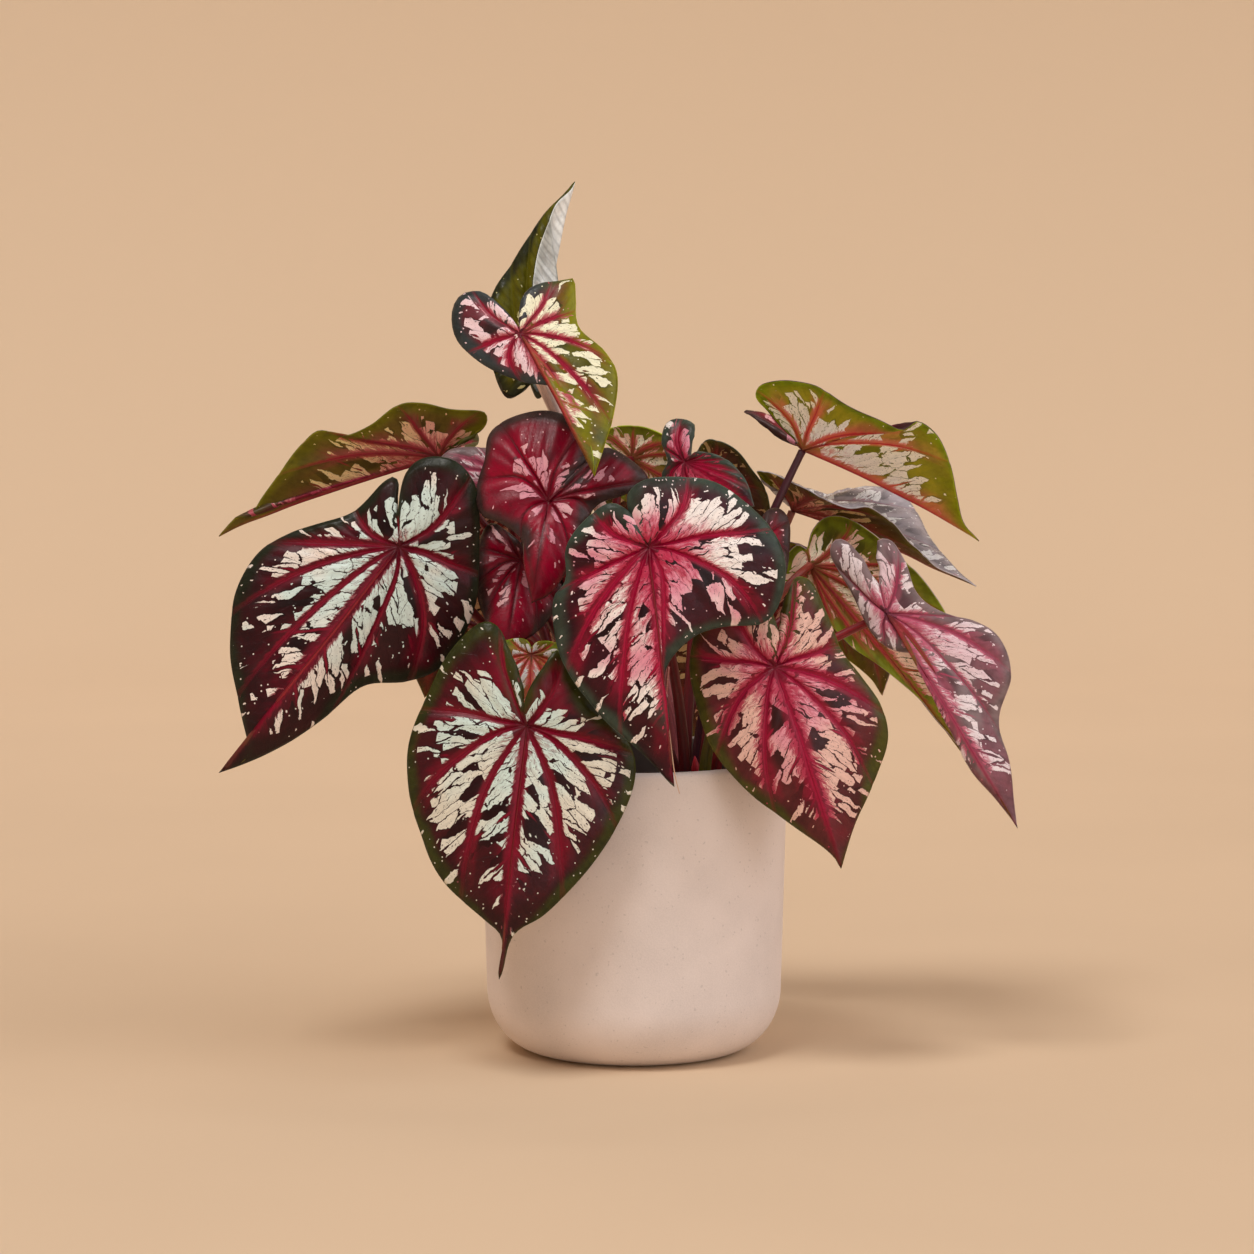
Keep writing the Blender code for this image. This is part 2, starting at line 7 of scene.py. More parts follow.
import math
from dataclasses import dataclass
from random import Random
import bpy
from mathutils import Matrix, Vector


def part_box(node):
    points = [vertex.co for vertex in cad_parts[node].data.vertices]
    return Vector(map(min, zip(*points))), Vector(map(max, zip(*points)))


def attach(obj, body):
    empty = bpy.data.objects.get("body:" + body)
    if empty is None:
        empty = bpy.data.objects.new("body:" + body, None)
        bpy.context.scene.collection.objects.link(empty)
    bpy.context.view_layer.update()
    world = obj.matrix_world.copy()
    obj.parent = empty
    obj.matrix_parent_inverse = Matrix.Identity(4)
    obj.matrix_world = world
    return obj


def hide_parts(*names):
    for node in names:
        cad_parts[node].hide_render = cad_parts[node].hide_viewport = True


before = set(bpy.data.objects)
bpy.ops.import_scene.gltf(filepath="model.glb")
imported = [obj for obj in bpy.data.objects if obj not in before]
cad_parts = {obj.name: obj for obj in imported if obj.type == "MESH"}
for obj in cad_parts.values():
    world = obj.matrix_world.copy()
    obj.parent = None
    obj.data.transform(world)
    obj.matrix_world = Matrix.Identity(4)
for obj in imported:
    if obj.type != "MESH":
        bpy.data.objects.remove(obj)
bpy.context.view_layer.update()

from types import SimpleNamespace

import bmesh
import bpy
import numpy as np
from mathutils import Matrix, Vector, noise

bl_info = {
    "name": "Potted caladium",
    "version": (1, 0, 0),
    "blender": (4, 5, 0),
    "location": "View3D > Sidebar > Caladium",
    "description": "Builds a caladium with patterned leaves in a clay pot, and its studio",
    "category": "Add Mesh",
}

MM = 0.001

POT_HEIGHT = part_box("pot")[1].z
POT_RIM_RADIUS = 0.077
POT_WAIST_RADIUS = 0.074
POT_FOOT_RADIUS = 0.046
POT_CORNER_HEIGHT = 0.032
POT_WALL = 0.0055
POT_FLOOR = 0.008
DRAIN_RADIUS = 0.004
DRAIN_CIRCLE = 0.026
DRAIN_HOLES = 3
# Painted shade: a dark soil colour laid on the pot's inner wall, where shade falls.
INSIDE_PAINTED_SHADE = (0.060, 0.034, 0.024)

SOIL_TOP = 0.128
SOIL_DOME = 0.001
CRUMB_MARGIN = 0.003
PEAT_FIBRE = (0.16, 0.10, 0.06)

TUBER_RADIUS = 0.016
TUBER_HALF_HEIGHT = 0.011
TUBER_CENTRE_HEIGHT = 0.121
TUBERS = {
    "front": (0.030, -0.028),
    "left": (-0.026, -0.006),
    "right": (0.032, 0.022),
    "back": (-0.014, 0.036),
}
CORK_DARK = (0.075, 0.036, 0.020)
CORK_PALE = (0.22, 0.12, 0.07)
CORK_SCAR = (0.05, 0.026, 0.018)

# The clearance between solids, and how the frame's stalks stand on the tubers and end under the blades.
GAP = 0.0003
SEAT_RING = 0.0090
PETIOLE_BASE_RADIUS = 0.0023
PETIOLE_END = 0.002
PETIOLE_DROP = 0.00115
STALK_STEPS = 44

SHOOT_HEIGHT = 0.020
SHOOT_RADIUS = 0.0030
SHOOT_SWAY = 0.0006
SHOOT_STEPS = 20
THREAD_RADIUS = 0.0007
THREAD_SPOTS = [
    (16.4, -104.2, 205), (15.2, -108.2, 188), (17.2, -110.2, 170), (18.6, -112.0, 159),
    (19.8, -113.2, 152), (21.6, -113.8, 145),
]

# The studio: how far the floor runs to the front, back and sides, and its bends up into backdrops.
STAGE_FRONT = -4.0
STAGE_BACK = 1.6
STAGE_SIDE = 3.4
BACK_BEND = 1.0
BACK_TOP = 5.0
WING_BEND = 0.8
WING_TOP = 1.3
VIEW_FROM = (-0.0035, -2.4, 0.4623)
VIEW_TO = (-0.0035, 0.0, 0.2133)

# The veins that leave the hub, by where they meet the margin from sinus (0) to tip (1).
VEIN_SHARES = (0.0, 0.19, 0.40, 0.60, 0.79, 1.0)
# Their numbers, counted from the midrib. The midrib itself is 0.
VEIN_NUMBERS = (5.0, 4.0, 3.0, 2.0, 1.0, 0.0)
VEIN_STOUTNESS = (0.4, 0.85, 0.95, 1.0, 0.95, 1.4)
VEIN_JITTER = 0.028
VEIN_SWAY = 0.009
SIDE_BEND = -0.15
LOBE_BEND = 0.07
LOBE_START = 3.1
# How far out the fine veins run for each mm that they leave the vein they spring from.
SLANT = 1.5
MIDRIB_SLANT = 1.1
BRANCH_SPACING = 23.0
QUILT_SPACING = 8.5
RIB_SPACING = 5.2
# How high the blade stands between two main veins, as a share of the quilting.
PILLOW = 1.8
# A blotch's size across and along the fine veins, and how far out blotches run, as a share of the blade.
CHUNK_WIDTH = 5.4
CHUNK_LENGTH = 19.0
BLOTCH_REACH = 0.76
# What sets each side's and each panel's patterns apart.
SIDE_SHIFT = 9.7
PANEL_SHIFT = 5.13

# Rays from hub to margin on each side of a blade, and rings round it.
FINE_GRID = (80, 40)
COARSE_GRID = (44, 26)


@dataclass
class Leaf:
    """A blade's landmarks in millimetres, its tuber, and how its blade rolls and its stalk runs."""

    name: str
    hub: tuple
    tip: tuple
    sinus: tuple
    side_a: list
    side_b: list
    crown: float
    tuber: str
    roll: tuple = (0, 0, 0)
    rise: float = 60
    reach: float = 26
    stoutness: float = 1.0
    ribs: float = 1.0


@dataclass
class BackLeaf:
    """A blade on the far side, shaped from the common outline by its size and attitude."""

    name: str
    hub: tuple
    heading: float
    droop: float
    bank: float
    length: float
    width: float
    crown: float
    tuber: str


# The common heart outline: across, along the midrib from hub to tip, and hang, as shares of size.
HEART_SIDE = [
    (0.06, -0.20, 0.00),
    (0.22, -0.40, -0.03),
    (0.42, -0.36, -0.07),
    (0.56, -0.14, -0.12),
    (0.56, 0.16, -0.15),
    (0.46, 0.44, -0.14),
    (0.28, 0.70, -0.12),
    (0.10, 0.88, -0.12),
]
HEART_SINUS = (0.0, -0.09, 0.0)
HEART_TIP = (0.0, 1.0, -0.16)

LEAVES = [
    Leaf(
        "left_front", hub=(-115, -50, 258), tip=(-203, -62, 148), sinus=(-116, -49, 273),
        side_a=[
            (-112, -43, 293), (-102, -42, 301), (-87, -45, 299), (-77, -43, 285), (-76, -40, 260),
            (-79, -38, 226), (-91, -39, 201), (-111, -43, 191), (-133, -48, 189), (-152, -51, 174),
            (-178, -57, 157),
        ],
        side_b=[
            (-116, -41, 290), (-123, -41, 289), (-140, -41, 273), (-168, -38, 264), (-185, -38, 254),
            (-196, -41, 233), (-198, -47, 209), (-194, -54, 183), (-189, -60, 162), (-191, -59, 154),
        ],
        crown=5, tuber="left",
    ),
    Leaf(
        "front_low", hub=(-52, -92, 175), tip=(-65, -108, 54), sinus=(-54, -91, 182),
        side_a=[
            (-50, -90, 193), (-43, -88, 204), (-37, -86, 211), (-30, -88, 198), (-20, -89, 184),
            (-8, -89, 175), (0, -90, 160), (-1, -92, 144), (-11, -96, 122), (-24, -99, 104),
            (-43, -103, 85), (-58, -105, 75),
        ],
        side_b=[
            (-56, -88, 196), (-63, -82, 218), (-72, -79, 224), (-84, -78, 216), (-96, -78, 197),
            (-109, -79, 166), (-109, -83, 145), (-104, -88, 123), (-91, -95, 98), (-72, -102, 82),
            (-64, -105, 73),
        ],
        crown=5, tuber="front",
    ),
    Leaf(
        "front_centre", hub=(7, -98, 262), tip=(19, -112, 148), sinus=(3, -97, 268),
        side_a=[
            (-1, -94, 278), (-3, -93, 287), (5, -94, 294), (20, -89, 295), (37, -84, 293), (52, -81, 284),
            (65, -79, 271), (72, -80, 255), (71, -83, 237), (62, -87, 224), (41, -94, 223), (27, -99, 218),
            (16, -104, 206), (14, -107, 187), (16, -109, 168),
        ],
        side_b=[
            (-4, -95, 279), (-13, -94, 282), (-25, -93, 273), (-33, -94, 261), (-33, -95, 246),
            (-39, -95, 236), (-37, -98, 215), (-29, -101, 198), (-15, -104, 180), (3, -108, 164),
            (13, -111, 154),
        ],
        crown=8, tuber="front",
    ),
    Leaf(
        "right_low", hub=(68, -80, 202), tip=(100, -90, 105), sinus=(70, -79, 214),
        side_a=[
            (73, -73, 229), (76, -70, 241), (80, -67, 245), (87, -66, 241), (94, -67, 227), (101, -68, 209),
            (110, -68, 197), (120, -68, 182), (124, -70, 167), (119, -74, 150), (109, -82, 130),
            (103, -87, 114),
        ],
        side_b=[
            (67, -77, 227), (58, -76, 238), (44, -75, 238), (32, -74, 225), (27, -75, 203), (31, -76, 182),
            (40, -79, 159), (59, -83, 138), (85, -87, 120), (96, -89, 111),
        ],
        crown=5, tuber="front",
    ),
    Leaf(
        "right_droop", hub=(124, -38, 224), tip=(188, -58, 120), sinus=(121, -36, 238),
        side_a=[
            (121, -31, 250), (120, -28, 259), (127, -27, 259), (133, -29, 250), (139, -32, 234),
            (151, -33, 224), (170, -31, 219), (181, -32, 210), (186, -36, 193), (180, -43, 173),
            (185, -50, 148),
        ],
        side_b=[
            (116, -34, 244), (107, -31, 257), (100, -30, 260), (97, -29, 253), (106, -32, 236),
            (116, -35, 215), (127, -39, 206), (147, -40, 203), (161, -40, 195), (164, -46, 175),
            (164, -50, 153), (176, -54, 135),
        ],
        crown=4, tuber="front",
    ),
    Leaf(
        "right_under", hub=(89, 24, 242), tip=(166, 5, 148), sinus=(87, 25, 250),
        side_a=[
            (90, 22, 260), (97, 19, 267), (109, 14, 266), (126, 9, 254), (144, 4, 237), (159, 1, 214),
            (166, 1, 187), (168, 3, 164),
        ],
        side_b=[
            (82, 26, 252), (76, 28, 244), (76, 29, 229), (87, 26, 219), (99, 23, 212), (110, 20, 201),
            (125, 16, 191), (142, 11, 177), (156, 8, 160),
        ],
        crown=4, tuber="right",
    ),
    Leaf(
        "right_back", hub=(81, 52, 268), tip=(174, 44, 229), sinus=(78, 52, 274),
        side_a=[
            (70, 44, 280), (62, 38, 288), (69, 28, 288), (83, 17, 283), (97, 10, 276), (108, 8, 273),
            (118, 7, 274), (128, 14, 266), (141, 26, 252), (157, 38, 239),
        ],
        side_b=[
            (82, 62, 276), (88, 80, 277), (103, 91, 271), (114, 98, 274), (126, 99, 276), (138, 94, 273),
            (147, 83, 263), (153, 68, 250), (165, 53, 236),
        ],
        crown=2, tuber="right",
    ),
    Leaf(
        "right_top", hub=(85, 20, 301), tip=(173, 8, 256), sinus=(82, 20, 304),
        side_a=[
            (74, 17, 312), (66, 14, 322), (61, 10, 329), (64, 4, 335), (75, -1, 337), (90, -5, 334),
            (105, -7, 325), (121, -10, 318), (133, -12, 313), (140, -14, 317), (148, -15, 312),
            (156, -10, 299), (161, 0, 279), (165, 7, 265),
        ],
        side_b=[
            (76, 27, 305), (67, 31, 311), (56, 38, 320), (72, 52, 315), (93, 64, 310), (113, 70, 308),
            (132, 65, 299), (148, 51, 284), (159, 28, 269),
        ],
        crown=2, tuber="right",
    ),
    Leaf(
        "left_top", hub=(-97, 0, 298), tip=(-207, -6, 260), sinus=(-92, 0, 300),
        side_a=[
            (-87, -2, 307), (-77, -1, 311), (-73, -3, 317), (-76, -6, 322), (-92, -10, 323),
            (-105, -14, 326), (-117, -16, 325), (-131, -15, 315), (-144, -15, 310), (-156, -19, 313),
            (-165, -17, 305), (-175, -14, 292), (-185, -9, 278), (-191, -7, 269), (-197, -8, 269),
        ],
        side_b=[
            (-87, 15, 300), (-79, 31, 302), (-83, 51, 309), (-104, 62, 310), (-125, 61, 305),
            (-144, 50, 295), (-164, 35, 284), (-182, 16, 272), (-195, 3, 265),
        ],
        crown=2, tuber="left", rise=95,
    ),
    Leaf(
        "top", hub=(-56, -26, 361), tip=(-19, -64, 294), sinus=(-57, -24, 365),
        side_a=[
            (-56, -18, 374), (-53, -14, 381), (-44, -12, 385), (-36, -10, 386), (-30, -9, 387),
            (-29, -15, 377), (-27, -23, 364), (-14, -29, 352), (-8, -36, 341), (-10, -47, 322),
            (-14, -54, 309),
        ],
        side_b=[
            (-61, -21, 369), (-67, -17, 375), (-76, -11, 381), (-86, -8, 379), (-90, -9, 370),
            (-86, -15, 356), (-73, -24, 345), (-56, -33, 338), (-41, -40, 336), (-33, -43, 332),
            (-26, -49, 321), (-21, -57, 307),
        ],
        crown=3, tuber="right", rise=70, stoutness=1.7,
    ),
    Leaf(
        "centre_crimson", hub=(-42, -48, 280), tip=(-50, -70, 232), sinus=(-31, -43, 289),
        side_a=[
            (-24, -36, 297), (-24, -31, 311), (-33, -30, 320), (-46, -27, 323), (-61, -27, 320),
            (-71, -29, 312), (-73, -35, 299), (-77, -40, 286), (-75, -46, 274), (-64, -50, 269),
            (-54, -55, 261), (-53, -62, 247),
        ],
        side_b=[
            (-20, -35, 298), (-14, -31, 305), (0, -31, 298), (7, -33, 289), (-5, -39, 283), (-17, -43, 279),
            (-24, -48, 270), (-30, -57, 252), (-40, -65, 237),
        ],
        crown=5, tuber="left",
    ),
    Leaf(
        "striped_small", hub=(-64, -18, 289), tip=(-101, -28, 278), sinus=(-60, -17, 289),
        side_a=[
            (-55, -13, 295), (-63, -9, 301), (-80, -9, 304), (-93, -11, 302), (-99, -19, 291),
        ],
        side_b=[
            (-57, -14, 283), (-67, -16, 275), (-81, -20, 272), (-94, -25, 273),
        ],
        crown=2, tuber="left", reach=42,
    ),
    Leaf(
        "shaded_left", hub=(-56, -22, 249), tip=(-63, -45, 207), sinus=(-55, -19, 255),
        side_a=[
            (-50, -15, 258), (-41, -12, 257), (-35, -14, 247), (-37, -23, 229), (-47, -34, 215),
        ],
        side_b=[
            (-60, -15, 260), (-71, -9, 266), (-77, -13, 256), (-78, -26, 234), (-72, -37, 217),
        ],
        crown=3, tuber="left",
    ),
    Leaf(
        "behind_low", hub=(-50, -60, 206), tip=(-52, -72, 171), sinus=(-50, -59, 209),
        side_a=[
            (-46, -57, 212), (-36, -54, 210), (-30, -56, 199), (-35, -63, 183), (-44, -68, 175),
        ],
        side_b=[
            (-54, -56, 213), (-64, -54, 211), (-67, -57, 200), (-64, -63, 185), (-57, -69, 176),
        ],
        crown=2, tuber="left",
    ),
    Leaf(
        "behind_top", hub=(-1, 32, 295), tip=(34, 14, 276), sinus=(-5, 34, 296),
        side_a=[
            (-9, 36, 299), (-16, 39, 305), (-11, 36, 311), (3, 28, 312), (15, 21, 308), (27, 15, 298),
            (33, 13, 286),
        ],
        side_b=[
            (-9, 36, 290), (-11, 38, 281), (-1, 33, 272), (15, 24, 269), (28, 17, 271),
        ],
        crown=2, tuber="back",
    ),
    Leaf(
        "pink_lobe", hub=(25, -14, 297), tip=(59, -40, 277), sinus=(28, -14, 300),
        side_a=[
            (34, -16, 302), (46, -23, 298), (55, -32, 289),
        ],
        side_b=[
            (29, -10, 308), (30, -7, 315), (23, -2, 318), (16, 0, 315), (14, -4, 306), (17, -9, 297),
            (14, -8, 288), (25, -17, 278), (43, -30, 274),
        ],
        crown=2, tuber="front",
    ),
    Leaf(
        "shaded_right", hub=(60, -18, 256), tip=(67, -36, 228), sinus=(61, -15, 260),
        side_a=[
            (65, -7, 271), (72, -4, 273), (77, -9, 266), (77, -19, 251), (73, -30, 236),
        ],
        side_b=[
            (58, -12, 265), (51, -10, 263), (47, -13, 253), (50, -23, 239), (60, -32, 230),
        ],
        crown=2, tuber="front",
    ),
    Leaf(
        "young", hub=(-50, 14, 340), tip=(-30, 24, 435), sinus=(-52, 13, 334),
        side_a=[
            (-48, 7, 327), (-44, 3, 334), (-44, 2, 357), (-50, 6, 380), (-49, 10, 395), (-44, 13, 412),
            (-40, 17, 423), (-33, 21, 430),
        ],
        side_b=[
            (-56, 14, 330), (-63, 14, 327), (-68, 16, 334), (-73, 19, 351), (-74, 22, 366), (-70, 23, 381),
            (-62, 24, 393), (-55, 24, 404), (-45, 24, 419), (-36, 24, 428),
        ],
        crown=2, tuber="back", roll=(14, 5, 0), ribs=2.4,
    ),
]

BACK_LEAVES = [
    BackLeaf("side_left", (-106, 12, 230), 172, 40, 0, 78, 60, 4, "back"),
    BackLeaf("back_left", (-80, 78, 230), 134, 48, 6, 76, 70, 5, "back"),
    BackLeaf("back_low_left", (-33, 104, 190), 104, 76, 0, 108, 82, 6, "back"),
    BackLeaf("back_low_right", (60, 96, 192), 68, 74, 0, 104, 78, 6, "right"),
    BackLeaf("back_right", (104, 70, 230), 28, 56, -8, 66, 68, 4, "right"),
    BackLeaf("back_top", (30, 78, 278), 72, 48, 0, 94, 78, 6, "back"),
    BackLeaf("back_top_left", (-62, 68, 268), 130, 46, 4, 82, 72, 5, "back"),
]
# Leaves that show little of themselves get a coarser sheet.
SMALL_LEAVES = {
    "striped_small", "shaded_left", "behind_low", "behind_top", "pink_lobe", "shaded_right", "top",
}


@dataclass
class Finish:
    """The colours of one side of a blade, as 0 to 255 screen values, and how it is patterned."""

    vein: tuple
    heart: tuple
    field: tuple
    rim: tuple
    blotch: tuple
    blotch_far: tuple
    amount: float = 0.0
    specks: float = 0.5
    roughness: float = 0.34
    flush: float = 1.5
    tint_side: float = 0.0
    lobes: float = 0.0
    hub_flush: float = 0.0
    band: float = 1.0
    ribs: float = 0.12
    glow: float = 0.0
    field_far: tuple = (0, 0, 0)


@dataclass
class Look:
    """The two sides of a blade, its pattern's seed, a slot name, which is not used, and its stalk's
    colours.
    """

    upper: Finish
    under: Finish
    seed: float
    slot: str
    stalk_low: tuple = (96, 18, 26)
    stalk_high: tuple = (128, 22, 38)


MINT = Finish(
    (138, 4, 40), (100, 4, 30), (46, 14, 18), (32, 38, 22), (216, 234, 228), (244, 230, 220), -0.01,
    flush=0.9,
)
MINT_LOW = Finish(
    (134, 4, 38), (122, 6, 36), (58, 14, 20), (54, 58, 14), (216, 234, 226), (232, 226, 210), 0.02,
    flush=0.9, lobes=0.3,
)
# The rim's grey-green is partly the margin's own dark green and partly a painted sheen along the margin.
ROSE = Finish(
    (180, 4, 60), (146, 4, 46), (46, 10, 22), (60, 74, 64), (234, 152, 172), (255, 246, 242), -0.03,
    flush=3.6, band=0.75, hub_flush=0.26, specks=0.7,
)
DUSTY = Finish(
    (170, 12, 60), (146, 16, 50), (94, 38, 40), (74, 74, 20), (228, 152, 166), (234, 190, 176), 0.02,
    flush=4.4, band=0.65, hub_flush=0.20,
)
PALE_PINK = Finish(
    (184, 64, 98), (152, 78, 96), (132, 86, 94), (136, 114, 116), (232, 200, 208), (240, 224, 228), 0.08,
    flush=2.6, band=0.42, hub_flush=0.26, specks=0.8,
)
CRIMSON = Finish(
    (104, 0, 24), (158, 0, 44), (132, 0, 36), (62, 48, 46), (224, 150, 166), (236, 180, 184), -0.29,
    flush=1.2, specks=0.5, band=0.8,
)
OLIVE_UNDER = Finish(
    (190, 54, 60), (140, 96, 44), (112, 112, 24), (122, 132, 24), (255, 244, 214), (250, 206, 184), -0.04,
    specks=0.08, roughness=0.55, flush=2.0, band=0.55, glow=0.3,
)
# Partly the pale underside's own colours, partly painted light: cream blotches and lime field brightened as
# if lit through the blade from behind.
PAINTED_BACKLIGHT_UNDER = Finish(
    (200, 14, 48), (206, 96, 70), (128, 136, 8), (106, 124, 6), (255, 255, 246), (255, 246, 226), -0.06,
    specks=0.25, roughness=0.5, flush=1.6, band=0.42, glow=0.9,
)
BROWN_UNDER = Finish(
    (164, 32, 52), (136, 56, 50), (100, 82, 24), (104, 100, 12), (238, 168, 150), (240, 216, 152), -0.10,
    specks=0.35, roughness=0.55, flush=2.6, band=0.45, hub_flush=0.20, glow=0.3,
)
MAROON_UNDER = Finish(
    (150, 34, 42), (104, 30, 34), (74, 42, 32), (84, 80, 32), (210, 152, 138), (216, 184, 140), -0.06,
    specks=0.1, roughness=0.55, flush=2.0, band=0.8, glow=0.3,
)
# Partly the leaf's own grey-mauve silver, partly a painted sheen that lifts it towards white.
SILVER_AND_SHEEN_TOP = Finish(
    (176, 120, 132), (206, 192, 198), (196, 186, 194), (160, 154, 160), (255, 255, 255), (250, 248, 250),
    0.10, roughness=0.25, band=0.4, specks=1.0,
)
SILVER_UNDER = Finish(
    (170, 176, 172), (240, 244, 242), (250, 252, 250), (206, 210, 206), (255, 255, 255), (244, 248, 246),
    -0.6, specks=0.0, roughness=0.34, band=0.3, ribs=0.4,
)
OLIVE_TOP = Finish(
    (124, 120, 24), (104, 100, 12), (112, 110, 10), (40, 44, 26), (244, 240, 186), (226, 218, 150), -0.20,
    roughness=0.36, band=0.5, specks=0.6, ribs=0.3,
)
TWO_TONE = Finish(
    (180, 6, 56), (150, 20, 52), (66, 60, 62), (56, 64, 66), (255, 224, 232), (252, 248, 216), 0.06,
    tint_side=1.2, flush=2.4, band=0.45, field_far=(132, 130, 0), hub_flush=0.0, specks=0.8, lobes=0.14,
)

# The parts of a finish that the pattern takes as colours, and those that it takes as numbers.
FINISH_COLOURS = ("vein", "heart", "field", "rim", "blotch", "blotch_far", "field_far")
FINISH_NUMBERS = ("amount", "specks", "flush", "tint_side", "lobes", "hub_flush", "band", "ribs")

LOOKS = {
    "left_front": Look(MINT, MAROON_UNDER, 1.3, "blade_mint"),
    "front_low": Look(MINT_LOW, MAROON_UNDER, 7.9, "blade_mint"),
    "front_centre": Look(ROSE, MAROON_UNDER, 3.1, "blade_crimson"),
    "right_low": Look(DUSTY, MAROON_UNDER, 12.4, "blade_pink", (110, 104, 36), (120, 50, 40)),
    "right_droop": Look(PALE_PINK, BROWN_UNDER, 5.2, "blade_pink", (140, 30, 36), (150, 34, 44)),
    "right_under": Look(PALE_PINK, OLIVE_UNDER, 8.8, "blade_olive", (104, 98, 34), (150, 60, 50)),
    "right_back": Look(SILVER_AND_SHEEN_TOP, BROWN_UNDER, 2.7, "blade_olive", (130, 60, 50), (176, 106, 92)),
    "right_top": Look(CRIMSON, PAINTED_BACKLIGHT_UNDER, 9.4, "blade_olive", (62, 14, 30), (70, 12, 32)),
    "left_top": Look(DUSTY, BROWN_UNDER, 6.6, "blade_olive"),
    "top": Look(TWO_TONE, OLIVE_UNDER, 11.2, "blade_olive", (206, 110, 118), (250, 222, 216)),
    "centre_crimson": Look(CRIMSON, MAROON_UNDER, 4.5, "blade_crimson"),
    "striped_small": Look(PALE_PINK, BROWN_UNDER, 10.1, "blade_pink"),
    "shaded_left": Look(CRIMSON, MAROON_UNDER, 14.6, "blade_crimson"),
    "behind_low": Look(PAINTED_BACKLIGHT_UNDER, OLIVE_UNDER, 13.3, "blade_olive"),
    "behind_top": Look(PAINTED_BACKLIGHT_UNDER, OLIVE_UNDER, 15.7, "blade_olive"),
    "pink_lobe": Look(ROSE, MAROON_UNDER, 16.2, "blade_pink"),
    "shaded_right": Look(CRIMSON, MAROON_UNDER, 17.8, "blade_crimson"),
    "young": Look(OLIVE_TOP, SILVER_UNDER, 18.5, "blade_olive", (110, 112, 88), (146, 148, 130)),
    "side_left": Look(PALE_PINK, BROWN_UNDER, 19.1, "blade_pink"),
    "back_left": Look(CRIMSON, MAROON_UNDER, 20.3, "blade_crimson"),
    "back_low_left": Look(DUSTY, MAROON_UNDER, 21.9, "blade_pink"),
    "back_low_right": Look(ROSE, MAROON_UNDER, 22.2, "blade_crimson"),
    "back_right": Look(PALE_PINK, BROWN_UNDER, 23.5, "blade_pink"),
    "back_top": Look(ROSE, MAROON_UNDER, 24.8, "blade_crimson"),
    "back_top_left": Look(MINT, MAROON_UNDER, 25.4, "blade_olive"),
}


class PotSettings(bpy.types.PropertyGroup):
    """Sizes and finish of the clay pot."""

    segments: bpy.props.IntProperty(
        name="Segments", description="Faces round the pot", default=144, min=24, max=400
    )
    clay: bpy.props.FloatVectorProperty(
        name="Clay", description="Colour of the dry clay", subtype="COLOR", default=(0.84, 0.745, 0.71)
    )


class SoilSettings(bpy.types.PropertyGroup):
    """Sizes and finish of the soil and the tubers in it."""

    crumbs: bpy.props.IntProperty(
        name="Crumbs", description="Loose crumbs on the soil", default=420, min=0, max=1500
    )
    crumb_size: bpy.props.FloatProperty(
        name="Crumb size", description="Radius of a large crumb", default=0.0026, unit="LENGTH"
    )
    peat: bpy.props.FloatVectorProperty(
        name="Peat", description="Colour of the soil", subtype="COLOR", default=(0.045, 0.028, 0.018)
    )


class BladeSettings(bpy.types.PropertyGroup):
    """Sizes of the leaf blades."""

    thickness: bpy.props.FloatProperty(
        name="Thickness", description="Thickness of a blade", default=0.0005, unit="LENGTH"
    )
    groove: bpy.props.FloatProperty(
        name="Vein groove", description="How deep a vein lies", default=0.0008, unit="LENGTH"
    )
    quilt: bpy.props.FloatProperty(
        name="Quilting", description="How high the blade puffs up", default=0.0006, unit="LENGTH"
    )
    wave: bpy.props.FloatProperty(
        name="Margin wave", description="How far the margin waves", default=0.0022, unit="LENGTH"
    )


class StalkSettings(bpy.types.PropertyGroup):
    """Sizes of the stalks."""

    base_radius: bpy.props.FloatProperty(
        name="Base radius", description="Radius above the tuber", default=0.0029, unit="LENGTH"
    )
    top_radius: bpy.props.FloatProperty(
        name="Top radius", description="Radius under the blade", default=0.0018, unit="LENGTH"
    )


class StageSettings(bpy.types.PropertyGroup):
    """The floor, the lights and the camera."""

    floor: bpy.props.FloatVectorProperty(
        name="Floor", description="Colour of the floor", subtype="COLOR", default=(0.74, 0.555, 0.385)
    )
    lens: bpy.props.FloatProperty(
        name="Lens", description="Focal length", default=138.5, unit="CAMERA"
    )
    key: bpy.props.FloatProperty(
        name="Key light", description="Strength of the key light", default=1.45
    )


def screen(colour):
    """A screen colour of 0 to 255 as the linear value that a shader takes."""
    return tuple(((c / 255 + 0.055) / 1.055) ** 2.4 if c > 10 else c / 3294.6 for c in colour)


def tinted(colour, share):
    """A colour darkened or brightened to a share of itself."""
    return tuple(c * share for c in colour)


class Value:
    """A node's result. Sums, products and tests with it turn into Math nodes."""

    def __init__(self, paint, socket):
        self.paint = paint
        self.socket = socket

    def __add__(self, other):
        return self.paint.maths("ADD", self, other)

    def __sub__(self, other):
        return self.paint.maths("SUBTRACT", self, other)

    def __rsub__(self, other):
        return self.paint.maths("SUBTRACT", other, self)

    def __mul__(self, other):
        return self.paint.maths("MULTIPLY", self, other)

    def __truediv__(self, other):
        return self.paint.maths("DIVIDE", self, other)

    __radd__ = __add__
    __rmul__ = __mul__

    def above(self, limit):
        """1 where the value is above a limit, otherwise 0."""
        return self.paint.maths("GREATER_THAN", self, limit)

    def below(self, limit):
        """1 where the value is below a limit, otherwise 0."""
        return self.paint.maths("LESS_THAN", self, limit)

    def most(self, other):
        """The larger of two values."""
        return self.paint.maths("MAXIMUM", self, other)


